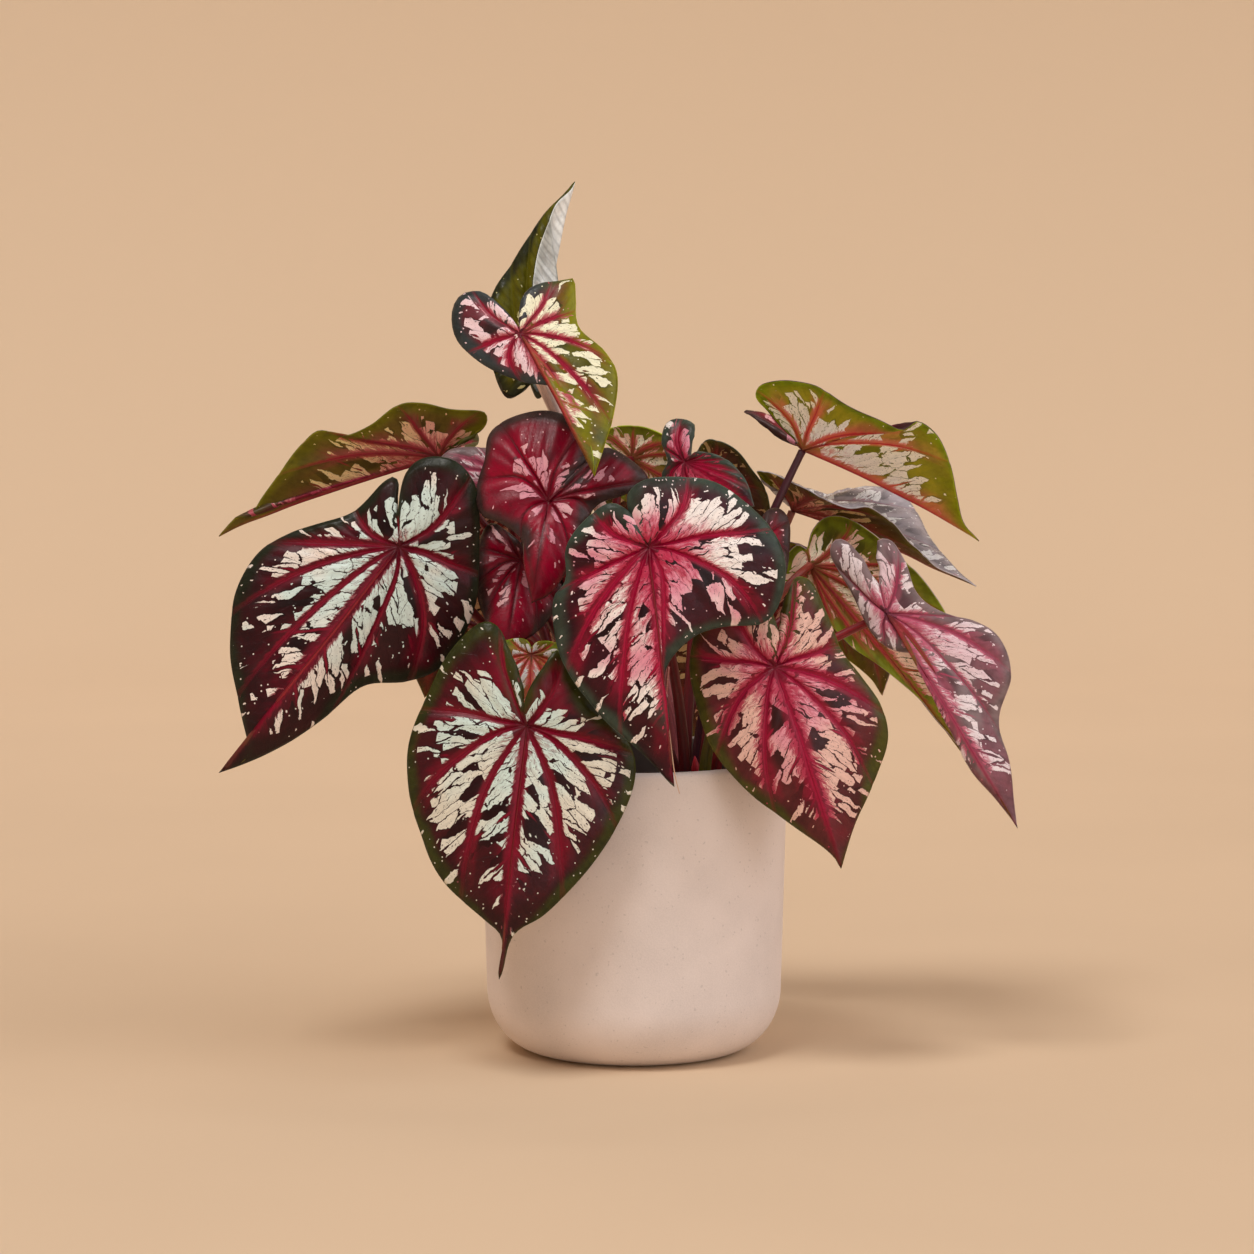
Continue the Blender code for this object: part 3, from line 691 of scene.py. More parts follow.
class Paint:
    """Short words for building the nodes of a material or a node group."""

    def __init__(self, name, tree=None):
        if tree is None:
            self.mat = bpy.data.materials.new(name)
            self.mat.use_nodes = True
            tree = self.mat.node_tree
            self.shader = tree.nodes["Principled BSDF"]
        self.nodes = tree.nodes
        self.links = tree.links

    def put(self, socket, value):
        """Sets a socket to a number or colour, or links a node's result to it."""
        if isinstance(value, Value):
            self.links.new(value.socket, socket)
        elif isinstance(value, tuple) and len(value) == 3 and socket.type == "RGBA":
            socket.default_value = (*value, 1.0)
        else:
            socket.default_value = value

    def node(self, kind, values=(), **settings):
        """A node of a kind with its settings, and values for its first inputs or its named ones."""
        made = self.nodes.new(kind)
        for key, value in settings.items():
            setattr(made, key, value)
        named = values.items() if isinstance(values, dict) else enumerate(values)
        for key, value in named:
            self.put(made.inputs[key], value)
        return made

    def result(self, made, key=0):
        """One of a node's results."""
        return Value(self, made.outputs[key])

    def maths(self, operation, *values, clamp=False):
        """A Math node's result."""
        return self.result(self.node("ShaderNodeMath", values, operation=operation, use_clamp=clamp))

    def span(self, value, low, high, to_low=0.0, to_high=1.0, smooth=True):
        """A value mapped from one span to another, held at the ends."""
        kind = "SMOOTHSTEP" if smooth else "LINEAR"
        ends = (value, low, high, to_low, to_high)
        return self.result(self.node("ShaderNodeMapRange", ends, interpolation_type=kind))

    def mix(self, factor, a, b):
        """A colour mix."""
        return self.result(self.node("ShaderNodeMix", {0: factor, 6: a, 7: b}, data_type="RGBA"), 2)

    def noise(self, where, scale, detail=2.0, roughness=0.5):
        """A noise's value from 0 to 1."""
        values = {"Vector": where, "Scale": scale, "Detail": detail, "Roughness": roughness}
        return self.result(self.node("ShaderNodeTexNoise", values), "Fac")

    def cells(self, where, scale=1.0, flat=False):
        """A pattern of cells: the distance to their middles, and two random values for each cell."""
        made = self.cell_node(where, scale, flat)
        return (self.result(made, "Distance"), *self.split(self.result(made, "Color"))[:2])

    def cell_node(self, where, scale, flat, **settings):
        """A Voronoi node in two or three dimensions."""
        values = {"Vector": where, "Scale": scale}
        return self.node(
            "ShaderNodeTexVoronoi", values, voronoi_dimensions="2D" if flat else "3D", **settings
        )

    def borders(self, where, scale=1.0):
        """The distance to the borders of a flat pattern of cells."""
        return self.result(self.cell_node(where, scale, True, feature="DISTANCE_TO_EDGE"), "Distance")

    def split(self, where):
        """The three values of a vector."""
        made = self.node("ShaderNodeSeparateXYZ", (where,))
        return tuple(self.result(made, k) for k in range(3))

    def shade(self, colour, share):
        """A colour result darkened or brightened to a share of itself."""
        values = {0: colour, "Scale": share}
        return self.result(self.node("ShaderNodeVectorMath", values, operation="SCALE"))

    def field(self, name):
        """The three values of a vector attribute."""
        return self.split(self.result(self.node("ShaderNodeAttribute", attribute_name=name), "Vector"))

    def vector(self, x, y, z):
        """Three values as a vector."""
        return self.result(self.node("ShaderNodeCombineXYZ", (x, y, z)))

    def place(self):
        """The place on the piece in metres."""
        return self.result(self.node("ShaderNodeTexCoord"), "Object")

    def bump(self, height, depth, strength=1.0):
        """Feeds a height to the shader's normal. The depth is in metres."""
        values = {"Strength": strength, "Distance": depth, "Height": height}
        self.put(self.shader.inputs["Normal"], self.result(self.node("ShaderNodeBump", values)))

    def finish(self, colour, roughness, specular=0.5):
        """Feeds colour and roughness to the shader."""
        self.put(self.shader.inputs["Base Color"], colour)
        self.put(self.shader.inputs["Roughness"], roughness)
        self.shader.inputs["Specular IOR Level"].default_value = specular
        return self.mat


def mesh_object(name, bm, mats=()):
    """Turns a bmesh into an object in the scene."""
    mesh = bpy.data.meshes.new(name)
    bm.to_mesh(mesh)
    bm.free()
    for mat in mats:
        mesh.materials.append(mat)
    made = bpy.data.objects.new(name, mesh)
    bpy.context.scene.collection.objects.link(made)
    return made


def add_piece(name, bm, mats):
    """Turns a bmesh into a named, smooth shaded piece that rides on the part."""
    piece = mesh_object(name, bm, mats)
    piece.data.shade_smooth()
    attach(piece, "root")
    return piece


def arc(centre, radii, start, end, steps):
    """Points of an elliptical arc in the (radius, height) plane, both ends included."""
    return [
        (centre[0] + radii[0] * math.cos(a), centre[1] + radii[1] * math.sin(a))
        for a in (start + (end - start) * i / steps for i in range(steps + 1))
    ]


def along_run(start, end, steps):
    """Evenly spaced points of a profile's straight run, without its last."""
    return [
        (start[0] + (end[0] - start[0]) * i / steps, start[1] + (end[1] - start[1]) * i / steps)
        for i in range(steps)
    ]


def draw_row(bm, spots):
    """Adds points to a bmesh and joins them in a row."""
    verts = [bm.verts.new(spot) for spot in spots]
    return verts, [bm.edges.new(pair) for pair in zip(verts, verts[1:])]


def spun(profile, segments):
    """A surface of revolution about Z from a profile of (radius, height) points."""
    bm = bmesh.new()
    verts, edges = draw_row(bm, [(r, 0, z) for r, z in profile])
    bmesh.ops.spin(
        bm,
        geom=verts + edges,
        cent=(0, 0, 0),
        axis=(0, 0, 1),
        angle=2 * math.pi,
        steps=segments,
        use_merge=True,
    )
    bmesh.ops.remove_doubles(bm, verts=bm.verts, dist=1e-6)
    bmesh.ops.recalc_face_normals(bm, faces=bm.faces)
    return bm


def pot_corner(inset, floor, steps=14):
    """The rounded lower corner of the pot's outside, or of its inside when inset by the wall."""
    radii = (POT_WAIST_RADIUS - inset - POT_FOOT_RADIUS, POT_CORNER_HEIGHT - floor)
    return arc((POT_FOOT_RADIUS, POT_CORNER_HEIGHT), radii, -math.pi / 2, 0, steps)


def wall_inside(height):
    """The inner radius of the pot at a height above its rounded corner."""
    share = (height - POT_CORNER_HEIGHT) / (POT_HEIGHT - POT_WALL / 2 - POT_CORNER_HEIGHT)
    return POT_WAIST_RADIUS + (POT_RIM_RADIUS - POT_WAIST_RADIUS) * share - POT_WALL


def clay_finish(clay):
    """Dry unglazed clay: a fine grain, pale bloom and a few dark grains, with painted shade darkening the
    inside up to near the rim.
    """
    p = Paint("dry_clay")
    where = p.place()
    cloud = p.noise(where, 14.0, 3.0, 0.55)
    grain = p.noise(where, 1400.0, 2.0, 0.6)
    speckle = p.noise(where, 520.0, 1.0, 0.4)
    tone = p.mix(p.span(cloud, 0.35, 0.68), clay, tinted(clay, 0.86))
    tone = p.mix(p.span(grain, 0.35, 0.65, 0.0, 0.22), tone, tinted(clay, 1.12))
    tone = p.mix(p.span(speckle, 0.70, 0.76, 0.0, 0.35), tone, tinted(clay, 0.55))
    x, y, z = p.split(where)
    radius = p.maths("SQRT", x * x + y * y)
    mouth = POT_RIM_RADIUS - POT_WALL
    # Painted shade on the inner wall above 5 cm, up to near the rim, in a dark soil colour, patchy by the
    # cloud.
    inside = p.span(radius, mouth + 0.0004, mouth + 0.0012, 1.0, 0.0) * p.span(z, 0.05, 0.06)
    painted_shade = inside * p.span(cloud, 0.3, 0.7, 0.80, 0.92)
    tone = p.mix(painted_shade, tone, INSIDE_PAINTED_SHADE)
    p.bump(speckle * 0.5 + grain, 0.00012, 0.7)
    return p.finish(tone, p.span(cloud, 0.3, 0.7, 0.78, 0.9), 0.3)


def cut_drain(pot, number):
    """Cuts one drain hole through the pot's floor."""
    turn = 2 * math.pi * (number + 0.5) / DRAIN_HOLES
    middle = Matrix.Translation((DRAIN_CIRCLE * math.cos(turn), DRAIN_CIRCLE * math.sin(turn), 0))
    bm = bmesh.new()
    bmesh.ops.create_cone(
        bm,
        cap_ends=True,
        segments=32,
        radius1=DRAIN_RADIUS,
        radius2=DRAIN_RADIUS,
        depth=4 * POT_FLOOR,
        matrix=middle,
    )
    cutter = mesh_object("drain_cutter_%d" % number, bm)
    cut = pot.modifiers.new("drain_%d" % number, "BOOLEAN")
    cut.operation = "DIFFERENCE"
    cut.object = cutter
    bpy.context.view_layer.objects.active = pot
    bpy.ops.object.modifier_apply(modifier=cut.name)
    bpy.data.objects.remove(cutter)


def build_pot(sets):
    """The pot: a thrown wall on a flat base, with a soft lip and three drain holes."""
    lip_radius = POT_WALL / 2
    lip_centre = (POT_RIM_RADIUS - lip_radius, POT_HEIGHT - lip_radius)
    outer = pot_corner(0, 0)
    lip = arc(lip_centre, (lip_radius, lip_radius), 0, math.pi, 10)
    inner = pot_corner(POT_WALL, POT_FLOOR)[::-1]
    profile = along_run((0, 0), outer[0], 6) + outer[:-1] + along_run(outer[-1], lip[0], 24) + lip
    profile += along_run(lip[-1], inner[0], 24)[1:] + inner + [(0, POT_FLOOR)]
    mat = clay_finish(tuple(sets.clay))
    pot = add_piece("clay_pot", spun(profile, sets.segments), [mat])
    for number in range(DRAIN_HOLES):
        cut_drain(pot, number)
    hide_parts("pot")


def soil_finish(peat):
    """Moist peat: near black, with brown fibre and grit."""
    p = Paint("moist_peat")
    where = p.place()
    coarse = p.noise(where, 210.0, 5.0, 0.65)
    fine = p.noise(where, 1500.0, 3.0, 0.7)
    tone = p.mix(p.span(coarse, 0.35, 0.7), peat, tinted(peat, 2.6))
    tone = p.mix(p.span(fine, 0.62, 0.72, 0.0, 0.7), tone, PEAT_FIBRE)
    p.bump(fine * 0.4 + coarse, 0.0012)
    return p.finish(tone, p.span(coarse, 0.3, 0.7, 0.82, 0.96), 0.25)


def build_soil(sets):
    """The soil body with a crumbly top, and loose crumbs lying on it."""
    bottom = [(r - GAP, z + GAP) for r, z in pot_corner(POT_WALL, POT_FLOOR, 6)]
    edge = (wall_inside(SOIL_TOP) - 2 * GAP, SOIL_TOP)
    crown = (0, SOIL_TOP + SOIL_DOME)
    profile = [(0, POT_FLOOR + GAP)] + bottom + along_run(bottom[-1], edge, 4)[1:]
    profile += along_run(edge, crown, 36) + [crown]
    bm = spun(profile, 120)
    for vert in bm.verts:
        radius = math.hypot(vert.co.x, vert.co.y)
        if vert.co.z > SOIL_TOP - GAP and radius < edge[0] * 0.985:
            rough = noise.fractal(vert.co * 160, 0.8, 2.1, 4)
            vert.co.z += 0.0011 * rough + 0.0008 * noise.noise(vert.co * 45)
    mat = soil_finish(tuple(sets.peat))
    soil = add_piece("soil_body", bm, [mat])
    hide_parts("soil")
    build_crumbs(sets, edge[0] - CRUMB_MARGIN, mat)


def build_crumbs(sets, reach, mat):
    """Loose crumbs of peat, scattered over the soil as far out as the reach."""
    draw = Random(11)
    bm = bmesh.new()
    for _ in range(sets.crumbs):
        turn = draw.uniform(0, 2 * math.pi)
        far = reach * math.sqrt(draw.random())
        size = sets.crumb_size * draw.uniform(0.3, 1.0) ** 1.6
        spot = Vector((far * math.cos(turn), far * math.sin(turn), SOIL_TOP + 0.0008 + size * 0.2))
        shape = Matrix.Diagonal((1.0, draw.uniform(0.5, 0.9), draw.uniform(0.4, 0.8), 1.0))
        heading = Matrix.Rotation(draw.uniform(0, 3), 4, "Z")
        tilt = Matrix.Rotation(draw.uniform(-0.5, 0.5), 4, "X")
        place = Matrix.Translation(spot) @ (heading @ tilt) @ shape
        made = bmesh.ops.create_icosphere(bm, subdivisions=1, radius=size, matrix=place)
        for vert in made["verts"]:
            vert.co += Vector([draw.uniform(-0.16, 0.16) * size for _ in range(3)])
    add_piece("soil_crumbs", bm, [mat])


def tuber_finish():
    """Corky brown skin with scars and paler flakes."""
    p = Paint("tuber_skin")
    where = p.place()
    coarse = p.noise(where, 260.0, 4.0, 0.6)
    x, y, z = p.split(where)
    rings = p.noise(p.vector(x * 60.0, y * 60.0, z * 900.0), 1.0)
    tone = p.mix(p.span(coarse, 0.35, 0.7), CORK_DARK, CORK_PALE)
    tone = p.mix(p.span(rings, 0.55, 0.7, 0.0, 0.6), tone, CORK_SCAR)
    p.bump(rings * 0.6 + coarse, 0.0006)
    return p.finish(tone, 0.85, 0.3)


def build_tubers():
    """The four tubers whose tops show in the soil."""
    mat = tuber_finish()
    shape = Matrix.Diagonal((TUBER_RADIUS, TUBER_RADIUS, TUBER_HALF_HEIGHT, 1))
    for number, (name, (x, y)) in enumerate(TUBERS.items()):
        middle = Matrix.Translation((x, y, TUBER_CENTRE_HEIGHT))
        bm = bmesh.new()
        bmesh.ops.create_uvsphere(bm, u_segments=56, v_segments=36, radius=1)
        bmesh.ops.transform(bm, matrix=middle @ shape, verts=bm.verts)
        bm.normal_update()
        for vert in bm.verts:
            where = vert.co * 120 + Vector((number * 7.0, 0, 0))
            ring = math.sin((vert.co.z - TUBER_CENTRE_HEIGHT) * 2600)
            vert.co += vert.normal * (0.0005 * noise.fractal(where, 0.9, 2.0, 4) + 0.00012 * ring)
        tuber = add_piece("corm_" + name, bm, [mat])
        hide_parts("tuber_" + name)


def tuber_top(offset):
    """The height of a tuber's skin at a distance from its middle."""
    drop = math.sqrt(1 - (offset / TUBER_RADIUS) ** 2)
    return TUBER_CENTRE_HEIGHT + TUBER_HALF_HEIGHT * drop


def smooth_run(points, count, steps=8):
    """Evenly spaced points on a smooth curve through the given points, ends included."""
    spots = np.array(points, float)
    padded = np.vstack([spots[0] * 2 - spots[1], spots, spots[-1] * 2 - spots[-2]])
    fine = []
    for p0, p1, p2, p3 in zip(padded, padded[1:], padded[2:], padded[3:]):
        bend, twist = 2 * p0 - 5 * p1 + 4 * p2 - p3, 3 * p1 - p0 - 3 * p2 + p3
        for t in (i / steps for i in range(steps)):
            fine.append(0.5 * (2 * p1 + (p2 - p0) * t + bend * t * t + twist * t**3))
    fine = np.array(fine + [spots[-1]])
    lengths = np.concatenate([[0.0], np.cumsum(np.linalg.norm(np.diff(fine, axis=0), axis=1))])
    want = np.linspace(0, lengths[-1], count + 1)
    return np.stack([np.interp(want, lengths, fine[:, k]) for k in range(3)], axis=1)


def heart_leaf(back):
    """The landmarks of a far side leaf: the common outline, drooped, banked and turned."""
    heading, droop = math.radians(back.heading), math.radians(back.droop)
    level = math.cos(droop)
    along = Vector((math.cos(heading) * level, math.sin(heading) * level, -math.sin(droop)))
    across = along.cross(Vector((0, 0, 1))).normalized()
    across = Matrix.Rotation(math.radians(back.bank), 3, along) @ across
    up = across.cross(along)

    def spot(point, sign):
        x, y, z = point
        flat = Vector(back.hub) + across * (sign * x * back.width) + along * (y * back.length)
        return tuple(flat + up * (z * back.length))

    sides = [[spot(p, sign) for p in HEART_SIDE] for sign in (1, -1)]
    tip, sinus = spot(HEART_TIP, 1), spot(HEART_SINUS, 1)
    return Leaf(back.name, back.hub, tip, sinus, *sides, back.crown, back.tuber)


def margin_sides(leaf, count):
    """The two sides of a blade's margin, each from sinus to tip."""
    return [smooth_run([leaf.sinus] + side + [leaf.tip], count) for side in (leaf.side_a, leaf.side_b)]


def facing(leaf):
    """The unit normal of a blade's upper side, averaged round its margin. It always looks up."""
    one, other = margin_sides(leaf, 10)
    ring = np.vstack([one, other[-2:0:-1]]) - np.array(leaf.hub, float)
    normal = np.cross(ring, np.roll(ring, -1, axis=0)).sum(axis=0)
    normal /= np.linalg.norm(normal)
    return normal if normal[2] > 0 else -normal


def nearest(points, run):
    """The distance in mm from each point to a run."""
    start, step = run[:-1], np.diff(run, axis=0)
    offset = points[:, None] - start[None]
    share = np.clip((offset * step).sum(axis=2) / np.maximum((step**2).sum(axis=1), 1e-12), 0, 1)
    return np.linalg.norm(offset - share[..., None] * step, axis=2).min(axis=1)


class Blade:
    """The sheet of one blade as a grid of rays from hub to margin, in millimetres, and its fields."""

    def __init__(self, leaf, half, rings, seed):
        self.half, self.rings, self.rays = half, rings, 2 * half
        self.hub = np.array(leaf.hub, float)
        self.normal = facing(leaf)
        self.seed = seed
        ray = np.arange(self.rays)
        self.on_a = ray <= half
        self.from_sinus = np.where(self.on_a, ray, self.rays - ray) / half
        self.choose_veins()
        self.sides = margin_sides(leaf, half * 6)
        self.lay_out(leaf)
        self.measure()
        self.raise_relief(leaf.ribs)

    def choose_veins(self):
        """Picks the ray and the stoutness of each vein, and numbers the rays between them."""
        draw = Random(self.seed)
        self.veins = []
        self.number = np.zeros(self.rays)
        for mask in (self.on_a, ~self.on_a):
            shares = [v + draw.uniform(-VEIN_JITTER, VEIN_JITTER) * (0 < v < 1) for v in VEIN_SHARES]
            veins = np.round(np.array(shares) * self.half) / self.half
            self.number[mask] = np.interp(self.from_sinus[mask], veins, VEIN_NUMBERS)
            stoutness = [w * draw.uniform(0.65, 1.1) for w in VEIN_STOUTNESS]
            self.veins.append(list(zip(veins, VEIN_NUMBERS, stoutness)))

    def bend(self):
        """How far a ray starts off towards the sinus, as a share of the side, before it bends back."""
        number = self.number
        outer = SIDE_BEND * np.sin(np.pi * number / LOBE_START)
        lobe = LOBE_BEND * np.sin(np.pi * (number - LOBE_START) / (VEIN_NUMBERS[0] - LOBE_START))
        return np.where(number < LOBE_START, outer, lobe)

    def lay_out(self, leaf):
        """Places the grid on the blade's crowned surface, its rays bent as veins are."""
        share = np.linspace(0, 1, self.rings + 1)
        sway = np.sin(2 * np.pi * (1.2 * share[None, :] + 0.37 * self.number[:, None] + self.seed))
        at = self.from_sinus[:, None] + (self.bend()[:, None] + VEIN_SWAY * sway) * (1 - share[None, :])
        at = np.clip(at, 0, 1)
        targets = np.zeros(at.shape + (3,))
        steps = np.linspace(0, 1, len(self.sides[0]))
        for side, mask in zip(self.sides, (self.on_a, ~self.on_a)):
            for k in range(3):
                targets[mask, :, k] = np.interp(at[mask], steps, side[:, k])
        reach = targets - self.hub
        length = np.linalg.norm(reach, axis=2)
        hump = 4 * share * (1 - share)
        lift = leaf.crown * length / length[:, -1].max()
        rolled = np.sin(np.pi * at) * self.on_a[:, None]
        self.share = np.broadcast_to(share, at.shape)
        self.radial = length * share
        self.spots = self.hub + reach * share[None, :, None]
        self.spots = self.spots + (lift * hump)[..., None] * self.normal
        self.spots = self.spots + (rolled * hump)[..., None] * np.array(leaf.roll, float)

    def measure(self):
        """Works out each point's distance to the veins, the margin and the vein nearer the midrib."""
        flat = self.spots.reshape(-1, 3)
        shape = self.share.shape
        self.vein = np.full(shape, 1e9)
        self.beyond = np.zeros(shape)
        for sign, mask, veins in zip((1, -1), (self.on_a, ~self.on_a), self.veins):
            for ray, number, stoutness in veins:
                run = self.spots[int(round(ray * self.half)) * sign % self.rays]
                self.vein = np.minimum(self.vein, nearest(flat, run).reshape(shape) / stoutness)
                own = mask & (np.floor(self.number + 1e-6) == number)
                self.beyond[own] = nearest(self.spots[own].reshape(-1, 3), run).reshape(-1, shape[1])
        margin = self.spots[:, -1]
        self.edge = nearest(flat, np.vstack([margin, margin[:1]])).reshape(shape)

    def normals(self):
        """The upper side's unit normal at each point."""
        round_it = np.roll(self.spots, -1, axis=0) - np.roll(self.spots, 1, axis=0)
        outward = np.gradient(self.spots, axis=1)
        normals = np.cross(outward, round_it)
        sign = 1.0 if normals.sum(axis=(0, 1)) @ self.normal > 0 else -1.0
        normals = sign * normals / np.maximum(np.linalg.norm(normals, axis=2, keepdims=True), 1e-9)
        normals[:, 0] = self.normal
        return normals

    def raise_relief(self, ribs):
        """Sinks the veins, puffs up the blade between them and waves the margin."""
        sets = bpy.context.scene.caladium_blade
        groove = sets.groove / MM * np.exp(-((self.vein / 1.5) ** 2)) * (1 - 0.6 * self.share)
        lines = np.abs(np.sin(np.pi * (self.radial - SLANT * self.beyond) / QUILT_SPACING))
        puff = lines * (1 - np.exp(-((self.vein / 3.0) ** 2))) * ribs
        puff = puff + PILLOW * (1 - np.exp(-self.vein / 5.0))
        inner = np.clip(self.share / 0.15, 0, 1) * np.clip((1 - self.share) / 0.1, 0, 1)
        shift = Vector((self.seed, 0, 0))
        wave = np.array([noise.noise(Vector(p) * 0.045 + shift) for p in self.spots.reshape(-1, 3)])
        wave = wave.reshape(self.share.shape) * sets.wave / MM * self.share**3
        height = sets.quilt / MM * puff * inner - groove + wave
        self.spots = self.spots + height[..., None] * self.normals()


def add_field(piece, name, values):
    """Gives a piece's points a vector attribute."""
    attribute = piece.data.attributes.new(name, "FLOAT_VECTOR", "POINT")
    attribute.data.foreach_set("vector", np.asarray(values, np.float32).ravel())


def build_blade(leaf, look, sets):
    """One blade: a round sheet laid out on the leaf's surface, with thickness and two finishes."""
    half, rings = COARSE_GRID if leaf.name in SMALL_LEAVES else FINE_GRID
    blade = Blade(leaf, half, rings, look.seed)
    bm = spun([(k / rings, 0) for k in range(rings + 1)], blade.rays)
    where = []
    for vert in bm.verts:
        ring = round(vert.co.length * rings)
        ray = round(math.atan2(vert.co.y, vert.co.x) / (2 * math.pi) * blade.rays) % blade.rays
        where.append((ray, ring))
        vert.co = Vector(blade.spots[ray, ring]) * MM
    bm.normal_update()
    upward = sum((f.normal * f.calc_area() for f in bm.faces), Vector((0, 0, 0)))
    if upward.dot(Vector(blade.normal)) < 0:
        bmesh.ops.reverse_faces(bm, faces=bm.faces)
    mats = [
        blade_finish(leaf.name + "_upper", look.upper, look.seed),
        blade_finish(leaf.name + "_under", look.under, look.seed),
    ]
    piece = add_piece("blade_" + leaf.name, bm, mats)
    rows, columns = np.array(where).T
    number = np.broadcast_to(blade.number[:, None], blade.share.shape)
    side = np.broadcast_to(np.where(blade.on_a, 1.0, -1.0)[:, None], blade.share.shape)
    for name, fields in (
        ("blade_place", (blade.share, blade.edge, blade.vein)),
        ("blade_weave", (blade.radial, blade.beyond, number)),
        ("blade_side", (side, side, side)),
    ):
        add_field(piece, name, np.stack([field[rows, columns] for field in fields], axis=1))
    solid = piece.modifiers.new("thickness", "SOLIDIFY")
    solid.thickness = sets.thickness
    solid.offset = 0
    solid.material_offset = 1
    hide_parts("leaf_" + leaf.name)
    return blade


def weave(p, at, across, along):
    """A place in the panel between two veins, drawn out along the fine veins."""
    return p.vector(at.across * across, at.along * along, at.shift)


def read_point(p, given):
    """What the pattern knows of a point: the blade's fields, noises, and its place along the fine veins."""
    at = SimpleNamespace()
    at.share, at.edge, at.vein = p.field("blade_place")
    at.radial, at.beyond, at.number = p.field("blade_weave")
    at.side = p.maths("SIGN", p.field("blade_side")[0])
    at.where = p.place()
    at.fine = p.noise(at.where, 420.0, 3.0, 0.6)
    at.wobble = p.noise(at.where, 120.0)
    at.slow = p.noise(at.where, 36.0)

    panel = p.maths("FLOOR", at.number + 0.001)
    at.by_midrib = at.number.below(1.0)
    # One node for each sum here, because the random value below hangs on its last digit.
    at.shift = p.maths("MULTIPLY_ADD", at.side, SIDE_SHIFT, given["seed"])
    at.shift = p.maths("MULTIPLY_ADD", panel, PANEL_SHIFT, at.shift)
    luck = p.node("ShaderNodeTexWhiteNoise", {"W": at.shift}, noise_dimensions="1D")
    at.luck = p.result(luck, "Value")
    at.line = at.radial - at.beyond * (at.by_midrib * (MIDRIB_SLANT - SLANT) + SLANT)
    at.across = at.line + (at.wobble - 0.5) * 7.0 + (at.fine - 0.5) * 2.2
    at.along = at.radial * 0.6 + at.beyond + (at.fine - 0.5) * 4.0
    at.streak_at = weave(p, at, 0.8, 0.2)
    at.streak = p.noise(at.streak_at, 1.0, 3.0, 0.6)
    return at


def vein_spaces(p, at, given):
    """How wide the veins are drawn, how ragged, and how far the nearest branch vein is."""
    at.width = p.span(at.share, 0.0, 0.9, 1.35, 3.0, smooth=False) * given["band"]
    teeth = p.noise(weave(p, at, 0.42, 0.12), 1.0, 3.0, 0.65)
    at.ragged = at.width * p.span(teeth, 0.3, 0.7, 0.5, 1.6, smooth=False)
    branch = p.maths("PINGPONG", at.line * (1.0 / BRANCH_SPACING) + (at.wobble * 0.12 + at.luck), 0.5)
    start = 0.52 - at.by_midrib * 0.22
    before = p.span(at.share - start, 0.0, 0.15, 9.0, 0.0) + p.span(at.vein, 5.0, 12.0, 0.0, 2.0)
    at.branch = branch * BRANCH_SPACING + before


def torn_blotches(p, at, given):
    """Where the pale blotches lie: whole chunks, cracked, and torn open by veins and dashes."""
    limit = BLOTCH_REACH + (at.luck - 0.5) * 0.18 + given["amount"]
    limit = limit - p.span(at.number, 3.4, 4.0) * given["lobes"]
    chunk_at = p.vector(at.across / CHUNK_WIDTH, at.shift * 3.3 + at.along / CHUNK_LENGTH, 0.0)
    pick, second_pick = p.cells(chunk_at, flat=True)[1:]
    at.ahead = limit - at.share
    at.reach = at.ahead + (pick - 0.5) * 0.34
    stray = second_pick.above(0.86) * at.reach.above(-0.34)
    missing = second_pick.below(0.17) * at.ahead.below(0.45)
    chunk = p.maths("SUBTRACT", at.reach.above(0.0).most(stray), missing, clamp=True)
    loose = p.span(at.ahead, 0.16, -0.12, 0.0, 0.16)
    crack = p.span(p.noise(at.streak_at, 0.4, 1.0), 0.46, 0.58, 0.0, 0.062)
    at.body = p.span(p.borders(chunk_at) - loose.most(crack), 0.0, 0.02)
    dashes = p.span(p.noise(weave(p, at, 1.3, 0.8), 1.0, 1.0), 0.665, 0.685, 1.0, 0.0)
    clear = p.span(at.vein - at.ragged, 0.0, 0.25)
    branch_clear = p.span(at.branch - at.ragged * 0.55, 0.0, 0.25)
    start = p.span(at.share - (at.luck * 0.05 + 0.06), 0.0, 0.01)
    return chunk * at.body * dashes * clear * branch_clear * start


def speckles(p, at, given):
    """Chips and dots of the blotches' colour, strewn over the outer part of the blade."""
    chip, chip_pick = p.cells(weave(p, at, 0.30, 0.22))[:2]
    chance = given["specks"] * p.span(at.ahead, -0.15, 0.15, 0.35, 0.8)
    chip = p.span(chip, 0.16, 0.2, 1.0, 0.0) * chip_pick.below(chance)
    dot, dot_pick = p.cells(at.where, 300.0)[:2]
    dot = p.span(dot, 0.10, 0.14, 1.0, 0.0) * dot_pick.below(given["specks"])
    off_lines = p.span(at.edge, 0.9, 1.5) * p.span(at.vein, 1.4, 2.2)
    return chip.most(dot) * off_lines * p.span(at.share, 0.3, 0.5)


def blotch_colour(p, at, given):
    """The blotches' colour: paler or tinted by place, streaked, and flushed red beside the veins."""
    tint = at.slow + at.side * (given["tint_side"] * 0.5) + at.luck * 0.25 + at.share * 0.6
    pale = p.mix(p.span(tint, 0.82, 1.12), given["blotch"], given["blotch_far"])
    pale = p.mix(p.span(at.streak, 0.40, 0.66, 0.0, 0.30), pale, p.shade(pale, 0.62))
    feather = given["flush"] * p.span(at.streak, 0.3, 0.7, 0.35, 1.6) + 0.01
    flush = p.span((at.vein - at.width) / feather, 0.0, 1.0, 0.85, 0.0)
    spread = (at.streak - 0.5) * 0.9 + (given["hub_flush"] - at.share)
    plain = 1.0 - flush.most(p.span(spread, -0.30, 0.20, 0.0, 0.9))
    return p.mix(1.0 - plain * plain, pale, p.mix(0.06, given["vein"], given["blotch"]))


